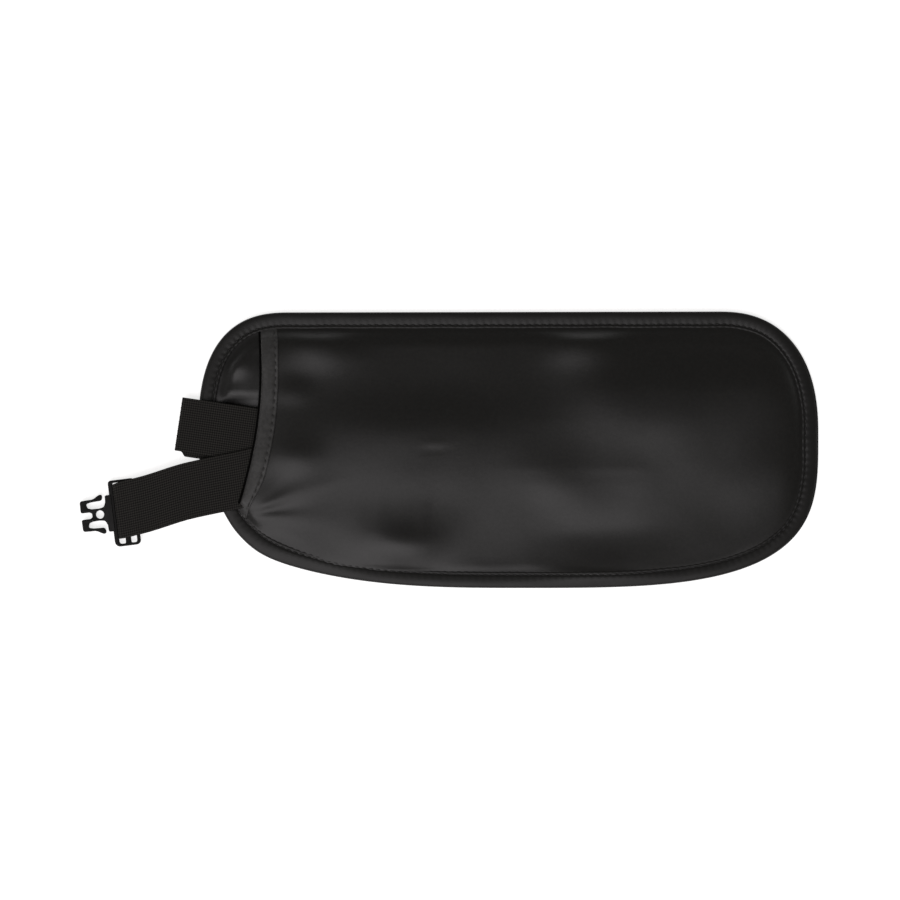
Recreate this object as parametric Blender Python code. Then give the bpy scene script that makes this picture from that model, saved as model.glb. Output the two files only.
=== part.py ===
"""Money belt: a flat satin waist pouch with a stow pocket, two front zips and an elastic belt.

The belt lies on its front (zip) face. X runs along the pouch, Y up it, Z away from the surface it
lies on. The origin is the middle of the pouch on the flat underside of its lower front panel.
"""

import math

import bmesh
import bpy
from mathutils import Matrix, Vector

MM = 0.001

# Pouch outline: four superellipse corners (centre x, radius x, radius y, exponent) about one height.
CORNER_Y = 7.0 * MM
TOP_RIGHT = (95.0 * MM, 45.0 * MM, 55.8 * MM, 2.36)
TOP_LEFT = (-100.0 * MM, 42.0 * MM, 55.4 * MM, 2.6)
BOTTOM_LEFT = (4.3 * MM, 146.3 * MM, 70.0 * MM, 2.85)
BOTTOM_RIGHT = (4.3 * MM, 135.7 * MM, 70.0 * MM, 3.42)
CORNER_STEPS = 18

# The lower left-hand end departs from its superellipse: amount, centre height and reach of each
# departure, and where along X they start and over what length they reach their full amount.
DRAWN_IN = (3.9 * MM, -26.0 * MM, 13.0 * MM)
LET_OUT = (2.6 * MM, -50.0 * MM, 7.0 * MM)
DEPARTS_FROM, DEPARTS_BY = -40.0 * MM, 50.0 * MM

# Folded edge binding, a C-shaped channel that holds the edges of every panel.
BINDING_WIDTH = 7.5 * MM
BINDING_HEIGHT = 2.6 * MM
BINDING_FOLD = 0.35 * MM
BINDING_ROUND = 0.8 * MM

# Panels start this far inside the outline, stay flat up to the next and rise beyond it.
EDGE_RELIEF = 1.2 * MM
EDGE_FLAT = 8.8 * MM
LIP_DELAY = 7.0 * MM

# Panels: thickness, and the height of each underside at the binding and in the middle.
CLOTH = 0.3 * MM
FRONT_EDGE, FRONT_MIDDLE = 0.49 * MM, 0.0
DIVIDER_EDGE, DIVIDER_MIDDLE = 0.93 * MM, 0.93 * MM
BACK_EDGE, BACK_MIDDLE = 1.37 * MM, 1.35 * MM
COVER_EDGE, COVER_MIDDLE = 1.81 * MM, 6.25 * MM
COVER_RIGHT_DROP = 1.0 * MM
COVER_DROP_FROM, COVER_DROP_BY = 66.0 * MM, 34.0 * MM
HEM_GAP = 0.15 * MM
HEM_WIDTH = 7.0 * MM
HEM_INSET = 9.2 * MM
SETTLE = 3.0 * MM
RISE = 5.0 * MM
DIVIDER_TOP = 36.6 * MM
BEYOND_X, BEYOND_Y = 160.0 * MM, 70.0 * MM

# Mouth of the stow pocket: a parabola x = MOUTH_X - MOUTH_BEND * (y - MOUTH_Y)^2 between its foot
# and its head, and the slit beyond the foot that lets the straps out, as offsets from the foot.
MOUTH_X = -112.2 * MM
MOUTH_Y = 36.0 * MM
MOUTH_BEND = 2.714
MOUTH_FOOT, MOUTH_HEAD = -16.0 * MM, 60.0 * MM
MOUTH_STEPS = 9
MOUTH_SLIT = [
    (x * MM, y * MM)
    for x, y in ((6.8, -1.0), (11.5, -9.5), (8.5, -15.5), (2.0, -20.0), (-25.0, -33.0))
]

# Zips: both run along X in a recess of the front face.
UPPER_ZIP_Y = 43.0 * MM
LOWER_ZIP_Y = 28.6 * MM
RECESS_HALF = 3.8 * MM
RECESS_DEPTH = 2.0 * MM
RECESS_SLOPE = 2.6 * MM
HUMP_RISE = 3.2 * MM
HUMP_LOW_Y, HUMP_HIGH_Y = 21.8 * MM, 24.4 * MM
COIL_WIDTH, COIL_HEIGHT, COIL_GAP = 1.7 * MM, 1.1 * MM, 0.6 * MM
COIL_LOW = 1.9 * MM
TAPE_THICK, TAPE_LOW, TAPE_EDGE, TAPE_GAP = 0.3 * MM, 2.3 * MM, 5.2 * MM, 0.1 * MM
ZIP_END_INSET = 17.0 * MM
ZIP_END_BACK = 6.0 * MM
SLIDER_X = 103.0 * MM
SLIDER_LENGTH, SLIDER_WIDTH = 9.6 * MM, 7.0 * MM
PLATE, PLATE_ROUND = 0.6 * MM, 1.2 * MM
SLIDER_LOW, SLIDER_HIGH = 1.15 * MM, 3.9 * MM
POST_REAR, POST_FRONT, POST_HALF = 1.6 * MM, 4.4 * MM, 0.2 * MM
LIP_HALF, LIP_RISE, LIP_INNER, LIP_OUTER = 3.4 * MM, 0.3 * MM, 2.7 * MM, 3.4 * MM
BAIL_HALF, BAIL_WIDE, BAIL_LOW = 2.9 * MM, 0.6 * MM, 0.15 * MM
WINDOW_HALF, WINDOW_WIDE, WINDOW_LOW = 2.3 * MM, 1.0 * MM, 0.6 * MM

# Pull tab, hinged on a cross bar that passes under the slider's bail.
PULL_LENGTH, PULL_WIDTH, PULL_ROUND = 21.0 * MM, 6.0 * MM, 1.5 * MM
PULL_AXIS_Z = 0.885 * MM
TAB_START, TAB_LOW, TAB_HIGH = 3.3 * MM, -0.6 * MM, 0.15 * MM
FORK_INNER, FORK_OUTER, FORK_BACK = 0.9 * MM, 1.8 * MM, 4.0 * MM
PIN_HALF, PIN_LENGTH = 0.17 * MM, 1.4 * MM
EYELET_RADIUS, EYELET_INSET = 1.2 * MM, 3.2 * MM

# Elastic strap.
STRAP_WIDTH = 25.4 * MM
STRAP_THICK = 1.0 * MM
LAYER = 1.15 * MM
LOWEST_STRAP = 3.25 * MM
SPLIT_GAP = 0.3 * MM

# Outer run of the long strap and the male buckle at its end.
RUN_ANGLE = math.radians(14.2)
BAR_ANGLE = math.radians(7.1)
BAR_POINT = Vector((-175.25 * MM, -27.2 * MM, 0.0))
BAR_OFFSET = 0.9 * MM
SPLIT_BACK = 22.5 * MM
RUN_INSIDE = 127.0 * MM

# Folded loop of the long strap beside it.
LOOP_ANGLE = math.radians(8.5)
LOOP_TIP = Vector((-151.2 * MM, 10.6 * MM, 0.0))
LOOP_LENGTH = 70.0 * MM

# Stowed strap inside the pocket.
STOW_FOLD_X = 60.0 * MM
STOW_LOWER_X = -70.0 * MM
STOW_UPPER_X = -42.0 * MM
STOW_Y = 2.0 * MM
ANCHOR_X = 122.0 * MM

# Short strap, sewn in at the left edge.
SHORT_START = Vector((-117.0 * MM, -17.56 * MM, 0.0))
SHORT_ANGLE = math.radians(-8.0)
SHORT_LENGTH = 54.0 * MM
SHORT_LOW, SHORT_THICK, SHORT_WIDTH = 1.72 * MM, 0.9 * MM, 24.0 * MM

# Male buckle: three-bar frame, then the core and the two sprung arms.
FRAME_DEPTH, FRAME_LENGTH = 11.8 * MM, 30.6 * MM
FRAME_LOW, FRAME_HIGH = 1.3 * MM, 2.95 * MM
FRONT_BAR, FRONT_SLOT, CENTRE_BAR, REAR_SLOT = 2.1 * MM, 2.9 * MM, 2.5 * MM, 2.7 * MM
RAIL = 1.0 * MM
PRONG_LOW, PRONG_HIGH = 1.0 * MM, 3.2 * MM
HOLE_FORWARD = 11.4 * MM
HOLE_RADIUS = 2.0 * MM
POD_REAR, POD_FRONT, POD_OUTER = 5.7 * MM, 8.6 * MM, 7.0 * MM
NOTCH_HALF, NOTCH_DEPTH = 1.5 * MM, 5.1 * MM
CORE_HALF = 2.85 * MM
TAB_FORWARD, TAB_HALF = 8.5 * MM, 8.35 * MM
FRAME_ROUND, POD_ROUND = 2.0 * MM, 0.9 * MM
ARM_ROOT = (16.45 * MM, 6.2 * MM)
ARM_OUTLINE = [
    (x * MM, y * MM)
    for x, y in ((-0.4, -0.75), (-0.4, 0.75), (-2.6, 0.85), (-4.8, 1.85), (-6.5, 2.55))
    + ((-7.1, 1.1), (-6.3, -0.15), (-4.0, -0.3))
]

# Female buckle.
SOCKET_LENGTH, SOCKET_WIDTH = 24.0 * MM, 27.0 * MM
SOCKET_LOW, SOCKET_HIGH = 1.75 * MM, 5.95 * MM
SOCKET_WALL, SOCKET_ROUND = 0.9 * MM, 2.5 * MM
SOCKET_BAR, WEB_SLOT = 1.5 * MM, 2.6 * MM
WEB_HALF, WEB_UNDER, WEB_OVER = 12.4 * MM, 1.3 * MM, 2.1 * MM
MOUTH_START, MOUTH_HALF = 7.5 * MM, 9.4 * MM
SIDE_START, SIDE_END = 10.0 * MM, 17.0 * MM
BAR_BEYOND = 3.2 * MM


def clear_scene():
    for obj in list(bpy.data.objects):
        bpy.data.objects.remove(obj, do_unlink=True)


def new_collection(name):
    collection = bpy.data.collections.new(name)
    bpy.context.scene.collection.children.link(collection)
    return collection


def new_material(name, colour, roughness, metallic=0.0):
    material = bpy.data.materials.new(name)
    material.use_nodes = True
    shader = material.node_tree.nodes["Principled BSDF"]
    shader.inputs["Base Color"].default_value = (*colour, 1.0)
    shader.inputs["Roughness"].default_value = roughness
    shader.inputs["Metallic"].default_value = metallic
    return material


def smoothstep(value):
    value = min(max(value, 0.0), 1.0)
    return value * value * (3.0 - 2.0 * value)


# ---------------------------------------------------------------- meshes


def finish_mesh(work, name="shape"):
    """A mesh with its normals pointing out, from the bmesh, which is freed."""
    bmesh.ops.remove_doubles(work, verts=work.verts, dist=1e-6)
    bmesh.ops.recalc_face_normals(work, faces=work.faces)
    mesh = bpy.data.meshes.new(name)
    work.to_mesh(mesh)
    work.free()
    return mesh


def prism_mesh(points, low, high):
    """A flat outline in XY, filled and extruded from low to high along Z."""
    curve = bpy.data.curves.new("outline", "CURVE")
    curve.dimensions = "2D"
    curve.fill_mode = "BOTH"
    curve.extrude = (high - low) / 2.0
    spline = curve.splines.new("POLY")
    spline.points.add(len(points) - 1)
    for point, place in zip(spline.points, points):
        point.co = (place[0], place[1], 0.0, 1.0)
    spline.use_cyclic_u = True
    holder = bpy.data.objects.new("outline", curve)
    bpy.context.scene.collection.objects.link(holder)
    bpy.context.view_layer.update()
    graph = bpy.context.evaluated_depsgraph_get()
    raw = bpy.data.meshes.new_from_object(holder.evaluated_get(graph))
    bpy.data.objects.remove(holder, do_unlink=True)
    bpy.data.curves.remove(curve)
    work = bmesh.new()
    work.from_mesh(raw)
    bpy.data.meshes.remove(raw)
    bmesh.ops.translate(work, verts=work.verts, vec=(0.0, 0.0, (low + high) / 2.0))
    return finish_mesh(work)


def box_mesh(low, high, bevel=0.0):
    """A box between two corners, its upright edges rounded off by one bevel segment."""
    size = Vector(high) - Vector(low)
    work = bmesh.new()
    bmesh.ops.create_cube(work, size=1.0)
    bmesh.ops.scale(work, vec=size, verts=work.verts)
    bmesh.ops.translate(work, vec=(Vector(low) + Vector(high)) / 2.0, verts=work.verts)
    if bevel:
        upright = [edge for edge in work.edges if abs(edge.verts[0].co.z - edge.verts[1].co.z) > size.z / 2]
        bmesh.ops.bevel(work, geom=upright, offset=bevel, segments=2, affect="EDGES", profile=0.5)
    return finish_mesh(work)


def cylinder_mesh(radius, low, high, centre=(0.0, 0.0)):
    work = bmesh.new()
    bmesh.ops.create_cone(
        work, cap_ends=True, segments=20, radius1=radius, radius2=radius, depth=high - low
    )
    bmesh.ops.translate(work, vec=(centre[0], centre[1], (low + high) / 2.0), verts=work.verts)
    return finish_mesh(work)


def ribbon_outline(path, thickness):
    """The closed side outline of a strap of this thickness that follows the path (along, height)."""
    left, right = [], []
    for i, point in enumerate(path):
        before = Vector(path[max(i - 1, 0)])
        after = Vector(path[min(i + 1, len(path) - 1)])
        run = (after - before).normalized()
        side = Vector((-run.y, run.x)) * thickness / 2.0
        left.append(Vector(point) + side)
        right.append(Vector(point) - side)
    return left + right[::-1]


def strap_mesh(outline, width, origin, along, across):
    """A side outline (along, height) carried across the strap's width."""
    mesh = prism_mesh(outline, -width / 2.0, width / 2.0)
    turn = Matrix(
        (
            (along.x, 0.0, across.x, origin.x),
            (along.y, 0.0, across.y, origin.y),
            (0.0, 1.0, 0.0, 0.0),
            (0.0, 0.0, 0.0, 1.0),
        )
    )
    mesh.transform(turn)
    work = bmesh.new()
    work.from_mesh(mesh)
    bpy.data.meshes.remove(mesh)
    return finish_mesh(work)


# ---------------------------------------------------------------- pouch outline


def side_shift(x, y):
    """How far the lower left-hand end lies to the right of its superellipse."""
    shift = 0.0
    for sign, (amount, centre, reach) in ((1.0, DRAWN_IN), (-1.0, LET_OUT)):
        shift += sign * amount * math.exp(-(((y - centre) / reach) ** 2))
    return shift * smoothstep((DEPARTS_FROM - x) / DEPARTS_BY)


def corner_of(x, y):
    """The corner that rules this point, and the point's offsets from the corner's centre."""
    if y >= CORNER_Y:
        corner = TOP_RIGHT if x > 0.0 else TOP_LEFT
    else:
        corner = BOTTOM_RIGHT if x > BOTTOM_RIGHT[0] else BOTTOM_LEFT
    across = abs(x - corner[0])
    if (corner is TOP_RIGHT and x < corner[0]) or (corner is TOP_LEFT and x > corner[0]):
        across = 0.0
    return corner, across, abs(y - CORNER_Y)


def edge_distance(x, y):
    """How far the point lies inside the pouch's outline, measured towards the corner's centre."""
    corner, across, up = corner_of(x - side_shift(x, y), y)
    share = ((across / corner[1]) ** corner[3] + (up / corner[2]) ** corner[3]) ** (1.0 / corner[3])
    if share < 1e-6:
        return min(corner[1], corner[2])
    return math.hypot(across, up) / share * (1.0 - share)


def outline_points(inset=0.0, steps=CORNER_STEPS):
    """The outline anticlockwise from the right-hand end, moved in by inset."""
    corners = ((TOP_RIGHT, 1, 1), (TOP_LEFT, -1, 1), (BOTTOM_LEFT, -1, -1), (BOTTOM_RIGHT, 1, -1))
    points = []
    for number, (corner, side, up) in enumerate(corners):
        for step in range(steps):
            turn = step / steps * math.pi / 2.0
            if number % 2:
                turn = math.pi / 2.0 - turn
            x = corner[0] + side * corner[1] * math.cos(turn) ** (2.0 / corner[3])
            y = CORNER_Y + up * corner[2] * math.sin(turn) ** (2.0 / corner[3])
            x += side_shift(x, y)
            if not points or (Vector((x, y)) - points[-1]).length > 0.5 * MM:
                points.append(Vector((x, y)))
    count = len(points)
    moved = []
    for i, point in enumerate(points):
        run = (points[(i + 1) % count] - points[i - 1]).normalized()
        moved.append(point + Vector((-run.y, run.x)) * inset)
    return moved


def mouth_x(y):
    return MOUTH_X - MOUTH_BEND * (y - MOUTH_Y) ** 2


# ---------------------------------------------------------------- panels

STATIONS_X = [
    v * MM
    for v in (-145, -138, -132, -126, -123, -120, -116, -113, -104, -90, -80, -68, -55, -40)
    + (-10, 20, 50, 66, 84, 100, 108, 114, 120, 126, 132, 138, 144)
]
STATIONS_Y = [
    v * MM
    for v in (-66, -60, -55, -50, -46, -41, -36, -30, -24, -17, -8, 6, 19, 21.8, 22.7, 23.6, 24.4, 28.6)
    + (32.4, 35, 36.6, 39.2, 43, 46.8, 48.2, 49.8, 52, 54.6, 58, 66)
]


def settled(edge, middle, inside, distance):
    """A panel's height: edge at the binding, middle further in."""
    return edge + (middle - edge) * smoothstep(inside / distance)


def hump(y, inside):
    """The rise of the inner panels over the two zips."""
    over = smoothstep((y - HUMP_LOW_Y) / (HUMP_HIGH_Y - HUMP_LOW_Y))
    return HUMP_RISE * over * smoothstep(inside / RISE)


def front_height(x, y, inside):
    height = settled(FRONT_EDGE, FRONT_MIDDLE, inside, SETTLE)
    for zip_y in (UPPER_ZIP_Y, LOWER_ZIP_Y):
        past = abs(y - zip_y) - RECESS_HALF
        lip = RECESS_DEPTH * smoothstep(1.0 - past / RECESS_SLOPE)
        height = max(height, lip * smoothstep((inside - LIP_DELAY) / RISE))
    return height


def divider_height(x, y, inside):
    return settled(DIVIDER_EDGE, DIVIDER_MIDDLE, inside, SETTLE) + hump(y, inside)


def back_height(x, y, inside):
    return settled(BACK_EDGE, BACK_MIDDLE, inside, SETTLE) + hump(y, inside)


def cover_height(x, y, inside):
    middle = COVER_MIDDLE - COVER_RIGHT_DROP * smoothstep((x - COVER_DROP_FROM) / COVER_DROP_BY)
    return settled(COVER_EDGE, middle, inside, RISE)


def hem_height(x, y, inside):
    return cover_height(x, y, inside) + CLOTH + HEM_GAP


def clear_inside(columns, rows, column, row):
    """How far a grid point lies in from the binding: 0 while any point next to it is under the binding."""
    near_x = columns[max(column - 1, 0) : column + 2]
    near_y = rows[max(row - 1, 0) : row + 2]
    if min(edge_distance(x, y) for x in near_x for y in near_y) < EDGE_FLAT:
        return 0.0
    return edge_distance(columns[column], rows[row]) - EDGE_FLAT


def sheet_mesh(height, columns, rows):
    """A cloth sheet over a grid of stations: its underside follows height(x, y, inside)."""
    work = bmesh.new()
    bmesh.ops.create_grid(work, x_segments=len(columns) - 1, y_segments=len(rows) - 1, size=1.0)
    for vert in work.verts:
        column = round((vert.co.x + 1.0) / 2.0 * (len(columns) - 1))
        row = round((vert.co.y + 1.0) / 2.0 * (len(rows) - 1))
        x, y = columns[column], rows[row]
        vert.co = (x, y, height(x, y, clear_inside(columns, rows, column, row)))
    bmesh.ops.triangulate(work, faces=work.faces, quad_method="FIXED")
    raised = bmesh.ops.extrude_face_region(work, geom=work.faces[:])
    moved = [item for item in raised["geom"] if isinstance(item, bmesh.types.BMVert)]
    bmesh.ops.translate(work, vec=(0.0, 0.0, CLOTH), verts=moved)
    return finish_mesh(work)


class Builder:
    """Adds named objects and the helpers that cut or join them."""

    def __init__(self):
        self.parts = new_collection("money_belt")
        self.cutters = new_collection("cutters")

    def add(self, name, mesh, material, parent=None):
        obj = bpy.data.objects.new(name, mesh)
        mesh.materials.append(material)
        self.parts.objects.link(obj)
        obj.parent = parent
        return obj

    def combine(self, obj, mesh, operation):
        """Cuts, joins or clips the object with this mesh, given in the object's own space."""
        number = len(self.cutters.objects)
        helper = bpy.data.objects.new(f"{obj.name}_{operation.lower()}_{number}", mesh)
        self.cutters.objects.link(helper)
        helper.parent = obj.parent
        helper.location = obj.location
        helper.hide_render = True
        helper.display_type = "WIRE"
        modifier = obj.modifiers.new(operation.title(), "BOOLEAN")
        modifier.operation = operation
        modifier.object = helper

    def empty(self, name, place, turn):
        obj = bpy.data.objects.new(name, None)
        self.parts.objects.link(obj)
        obj.location = place
        obj.rotation_euler = (0.0, 0.0, turn)
        return obj


def band_points(low_y, high_y):
    """A rectangle across the whole pouch between two heights in Y."""
    return [(-BEYOND_X, low_y), (BEYOND_X, low_y), (BEYOND_X, high_y), (-BEYOND_X, high_y)]


def mouth_region(width=None):
    """The area to the right of the mouth's edge, or a band of this width along it."""
    rise = (MOUTH_HEAD - MOUTH_FOOT) / (MOUTH_STEPS - 1)
    edge = [(mouth_x(y), y) for y in (MOUTH_FOOT + rise * i for i in range(MOUTH_STEPS))]
    if width:
        return edge[::-1] + [(x + width, y) for x, y in edge]
    slit = [(mouth_x(MOUTH_FOOT) + x, MOUTH_FOOT + y) for x, y in MOUTH_SLIT]
    right = [(slit[-1][0], -BEYOND_Y), (BEYOND_X, -BEYOND_Y), (BEYOND_X, BEYOND_Y), (edge[-1][0], BEYOND_Y)]
    return edge[::-1] + slit + right


def add_sheet(build, name, height, material, regions, inset=EDGE_RELIEF, columns=None, rows=None):
    """A panel: a sheet clipped by the pouch's outline and by each region."""
    mesh = sheet_mesh(height, columns or STATIONS_X, rows or STATIONS_Y)
    panel = build.add(name, mesh, material)
    for points in [outline_points(inset)] + regions:
        build.combine(panel, prism_mesh(points, -20.0 * MM, 20.0 * MM), "INTERSECT")
    return panel


def rows_between(low, high):
    """The stations from just below low to just above high."""
    inside = [y for y in STATIONS_Y if low < y < high]
    return [low - 1.0 * MM] + inside + [high + 1.0 * MM]


def add_panels(build, satin, lining):
    upper_low, upper_high = UPPER_ZIP_Y - RECESS_HALF, UPPER_ZIP_Y + RECESS_HALF
    lower_low, lower_high = LOWER_ZIP_Y - RECESS_HALF, LOWER_ZIP_Y + RECESS_HALF
    fronts = (
        ("front_lower_panel", -BEYOND_Y, lower_low),
        ("front_middle_panel", lower_high, upper_low),
        ("front_top_panel", upper_high, BEYOND_Y),
    )
    for name, low, high in fronts:
        rows = rows_between(low, high)
        columns = STATIONS_X[::2] + STATIONS_X[-1:]
        add_sheet(build, name, front_height, satin, [band_points(low, high)], columns=columns, rows=rows)
    add_sheet(build, "divider_lining", divider_height, lining, [band_points(-BEYOND_Y, DIVIDER_TOP)])
    add_sheet(build, "back_panel", back_height, satin, [])
    add_sheet(build, "cover_panel", cover_height, satin, [mouth_region()])
    columns = [x for x in STATIONS_X if x < MOUTH_X + 2.0 * HEM_WIDTH]
    hem = [mouth_region(width=HEM_WIDTH)]
    add_sheet(build, "mouth_hem", hem_height, satin, hem, inset=HEM_INSET, columns=columns)


def add_binding(build, material):
    """The C-shaped binding: its section is carried round the outline."""
    fold, top, width = BINDING_FOLD, BINDING_HEIGHT, BINDING_WIDTH
    soft = BINDING_ROUND
    section = [
        (width, 0.0),
        (soft, 0.0),
        (0.0, soft),
        (0.0, top - soft),
        (soft, top),
        (width, top),
        (width, top - fold),
        (soft + fold / 2, top - fold),
        (fold, top - soft - fold / 2),
        (fold, soft + fold / 2),
        (soft + fold / 2, fold),
        (width, fold),
    ]
    rings = [outline_points(inset) for inset, _ in section]
    work = bmesh.new()
    loops = []
    for ring, (_, height) in zip(rings, section):
        loops.append([work.verts.new((point.x, point.y, height)) for point in ring])
    for number, loop in enumerate(loops):
        other = loops[(number + 1) % len(loops)]
        for i in range(len(loop)):
            j = (i + 1) % len(loop)
            work.faces.new((loop[i], loop[j], other[j], other[i]))
    build.add("edge_binding", finish_mesh(work), material)


# ---------------------------------------------------------------- zips


def zip_span(y):
    """The ends of a zip at this height, kept clear of the binding."""
    ends = []
    for side in (-1.0, 1.0):
        x = 0.0
        while edge_distance(x, y) > ZIP_END_INSET:
            x += side * MM
        ends.append(x - side * ZIP_END_BACK)
    return ends


def add_zip(build, name, y, materials):
    tape, coil, metal = materials
    left, right = zip_span(y)
    for label, side in (("top", 1.0), ("bottom", -1.0)):
        near, far = side * COIL_GAP / 2.0, side * (COIL_GAP / 2.0 + COIL_WIDTH)
        low, high = sorted((y + near, y + far))
        mesh = box_mesh((left, low, COIL_LOW), (right, high, COIL_LOW + COIL_HEIGHT))
        build.add(f"{name}_coil_{label}", mesh, coil)
        low, high = sorted((y + far + side * TAPE_GAP, y + side * TAPE_EDGE))
        mesh = box_mesh((left, low, TAPE_LOW), (right, high, TAPE_LOW + TAPE_THICK))
        build.add(f"{name}_tape_{label}", mesh, tape)
    add_slider(build, name, y, metal)
    add_pull(build, name, y, metal)


def add_slider(build, name, y, metal):
    half, wide = SLIDER_LENGTH / 2.0, SLIDER_WIDTH / 2.0
    low, high = SLIDER_LOW, SLIDER_HIGH
    lower = box_mesh((-half, -wide, low), (half, wide, low + PLATE), bevel=PLATE_ROUND)
    slider = build.add(f"{name}_slider", lower, metal)
    slider.location = (SLIDER_X, y, 0.0)
    upper = box_mesh((-half, -wide, high - PLATE), (half, wide, high), bevel=PLATE_ROUND)
    build.combine(slider, upper, "UNION")
    post = box_mesh((POST_REAR, -POST_HALF, low), (POST_FRONT, POST_HALF, high))
    build.combine(slider, post, "UNION")
    lips = ((low + PLATE / 2, low + PLATE + LIP_RISE), (high - PLATE - LIP_RISE, high - PLATE / 2))
    for side in (-1.0, 1.0):
        inner, outer = sorted((side * LIP_INNER, side * LIP_OUTER))
        for base, tip in lips:
            build.combine(slider, box_mesh((-LIP_HALF, inner, base), (LIP_HALF, outer, tip)), "UNION")
    bail = box_mesh((-BAIL_HALF, -BAIL_WIDE, BAIL_LOW), (BAIL_HALF, BAIL_WIDE, low + PLATE / 2))
    build.combine(slider, bail, "UNION")
    window = box_mesh((-WINDOW_HALF, -WINDOW_WIDE, WINDOW_LOW), (WINDOW_HALF, WINDOW_WIDE, low))
    build.combine(slider, window, "DIFFERENCE")


def add_pull(build, name, y, metal):
    """The pull tab: a cross bar under the slider's bail, two arms and the tab."""
    wide = PULL_WIDTH / 2.0
    reach = -PULL_LENGTH
    tab = box_mesh((reach, -wide, TAB_LOW), (-TAB_START, wide, TAB_HIGH), bevel=PULL_ROUND)
    pull = build.add(f"{name}_pull", tab, metal)
    pull.location = (SLIDER_X, y, PULL_AXIS_Z)
    half = PIN_HALF
    for side in (-1.0, 1.0):
        low, high = sorted((side * FORK_INNER, side * FORK_OUTER))
        build.combine(pull, box_mesh((-FORK_BACK, low, -half), (half, high, half * 0.9)), "UNION")
    pin = box_mesh((-half, -PIN_LENGTH, -half * 0.95), (half * 0.9, PIN_LENGTH, half * 0.8))
    build.combine(pull, pin, "UNION")
    hole = cylinder_mesh(EYELET_RADIUS, -2.0 * MM, 2.0 * MM, centre=(reach + EYELET_INSET, 0.0))
    build.combine(pull, hole, "DIFFERENCE")


# ---------------------------------------------------------------- straps


def direction(angle):
    """Pointing out of the pouch to the left, at this angle below the X axis."""
    return Vector((-math.cos(angle), -math.sin(angle), 0.0))


BAR_ALONG = direction(BAR_ANGLE)
BAR_ACROSS = Vector((BAR_ALONG.y, -BAR_ALONG.x, 0.0))


def wrap_path():
    """The strap's path round the buckle's bars, from its tucked tail to its outer run."""
    return [
        (-SPLIT_BACK + 1.5 * MM, 4.15 * MM),
        (-8.0 * MM, 3.7 * MM),
        (-4.7 * MM, 3.66 * MM),
        (-3.4 * MM, 3.42 * MM),
        (-2.6 * MM, 2.3 * MM),
        (-2.0 * MM, 1.2 * MM),
        (-1.2 * MM, 0.62 * MM),
        (0.0, 0.6 * MM),
        (1.2 * MM, 0.62 * MM),
        (2.1 * MM, 1.2 * MM),
        (2.65 * MM, 2.2 * MM),
        (2.2 * MM, 3.2 * MM),
        (1.1 * MM, 3.72 * MM),
        (0.0, 3.76 * MM),
        (-1.2 * MM, 3.86 * MM),
        (-2.5 * MM, 4.32 * MM),
        (-4.7 * MM, 4.88 * MM),
        (-8.0 * MM, 5.0 * MM),
        (-SPLIT_BACK + SPLIT_GAP, LOWEST_STRAP + 2 * LAYER),
    ]


def add_long_strap(build, elastic, flex):
    skew = math.cos(RUN_ANGLE - BAR_ANGLE)
    width = STRAP_WIDTH / skew
    along = direction(RUN_ANGLE)
    turn_back = Matrix.Rotation(-flex.rotation_euler.z, 4, "Z") @ Matrix.Translation(-flex.location)
    mesh = strap_mesh(ribbon_outline(wrap_path(), STRAP_THICK), width, BAR_POINT, along, BAR_ACROSS)
    mesh.transform(turn_back)
    build.add("strap_buckle_end", mesh, elastic, parent=flex)
    run_z = LOWEST_STRAP + 2 * LAYER
    outline = ribbon_outline([(-RUN_INSIDE, run_z), (-SPLIT_BACK, run_z)], STRAP_THICK)
    mesh = strap_mesh(outline, width, BAR_POINT, along, BAR_ACROSS)
    mesh.transform(Matrix.Translation(-BAR_POINT))
    run = build.add("strap_outer_run", mesh, elastic)
    run.location = BAR_POINT


def folded_path(tip, length_low, length_high, low_z):
    """A strap folded back on itself: the two layers and the round fold between them."""
    high_z = low_z + LAYER
    middle, radius = (low_z + high_z) / 2.0, LAYER / 2.0
    fold = [
        (tip - radius + radius * math.sin(turn), middle - radius * math.cos(turn))
        for turn in (math.radians(a) for a in (0, 30, 60, 90, 120, 150, 180))
    ]
    return [(tip - length_low, low_z)] + fold + [(tip - length_high, high_z)]


def add_stowed_strap(build, elastic):
    along = direction(-LOOP_ANGLE)
    across = Vector((along.y, -along.x, 0.0))
    path = folded_path(-STRAP_THICK / 2.0, LOOP_LENGTH, LOOP_LENGTH, LOWEST_STRAP)
    mesh = strap_mesh(ribbon_outline(path, STRAP_THICK), STRAP_WIDTH, Vector((0, 0, 0)), along, across)
    loop = build.add("strap_folded_loop", mesh, elastic)
    loop.location = LOOP_TIP
    right = Vector((1.0, 0.0, 0.0))
    up = Vector((0.0, 1.0, 0.0))
    lengths = (STOW_FOLD_X - STOW_LOWER_X, STOW_FOLD_X - STOW_UPPER_X)
    path = folded_path(STOW_FOLD_X, *lengths, LOWEST_STRAP + LAYER)
    outline = ribbon_outline(path, STRAP_THICK)
    mesh = strap_mesh(outline, STRAP_WIDTH, Vector((0.0, STOW_Y, 0.0)), right, up)
    build.add("strap_stowed_fold", mesh, elastic)
    outline = ribbon_outline([(STOW_LOWER_X, LOWEST_STRAP), (ANCHOR_X, LOWEST_STRAP)], STRAP_THICK)
    mesh = strap_mesh(outline, STRAP_WIDTH, Vector((0.0, STOW_Y, 0.0)), right, up)
    build.add("strap_anchor_run", mesh, elastic)


# ---------------------------------------------------------------- buckles


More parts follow.
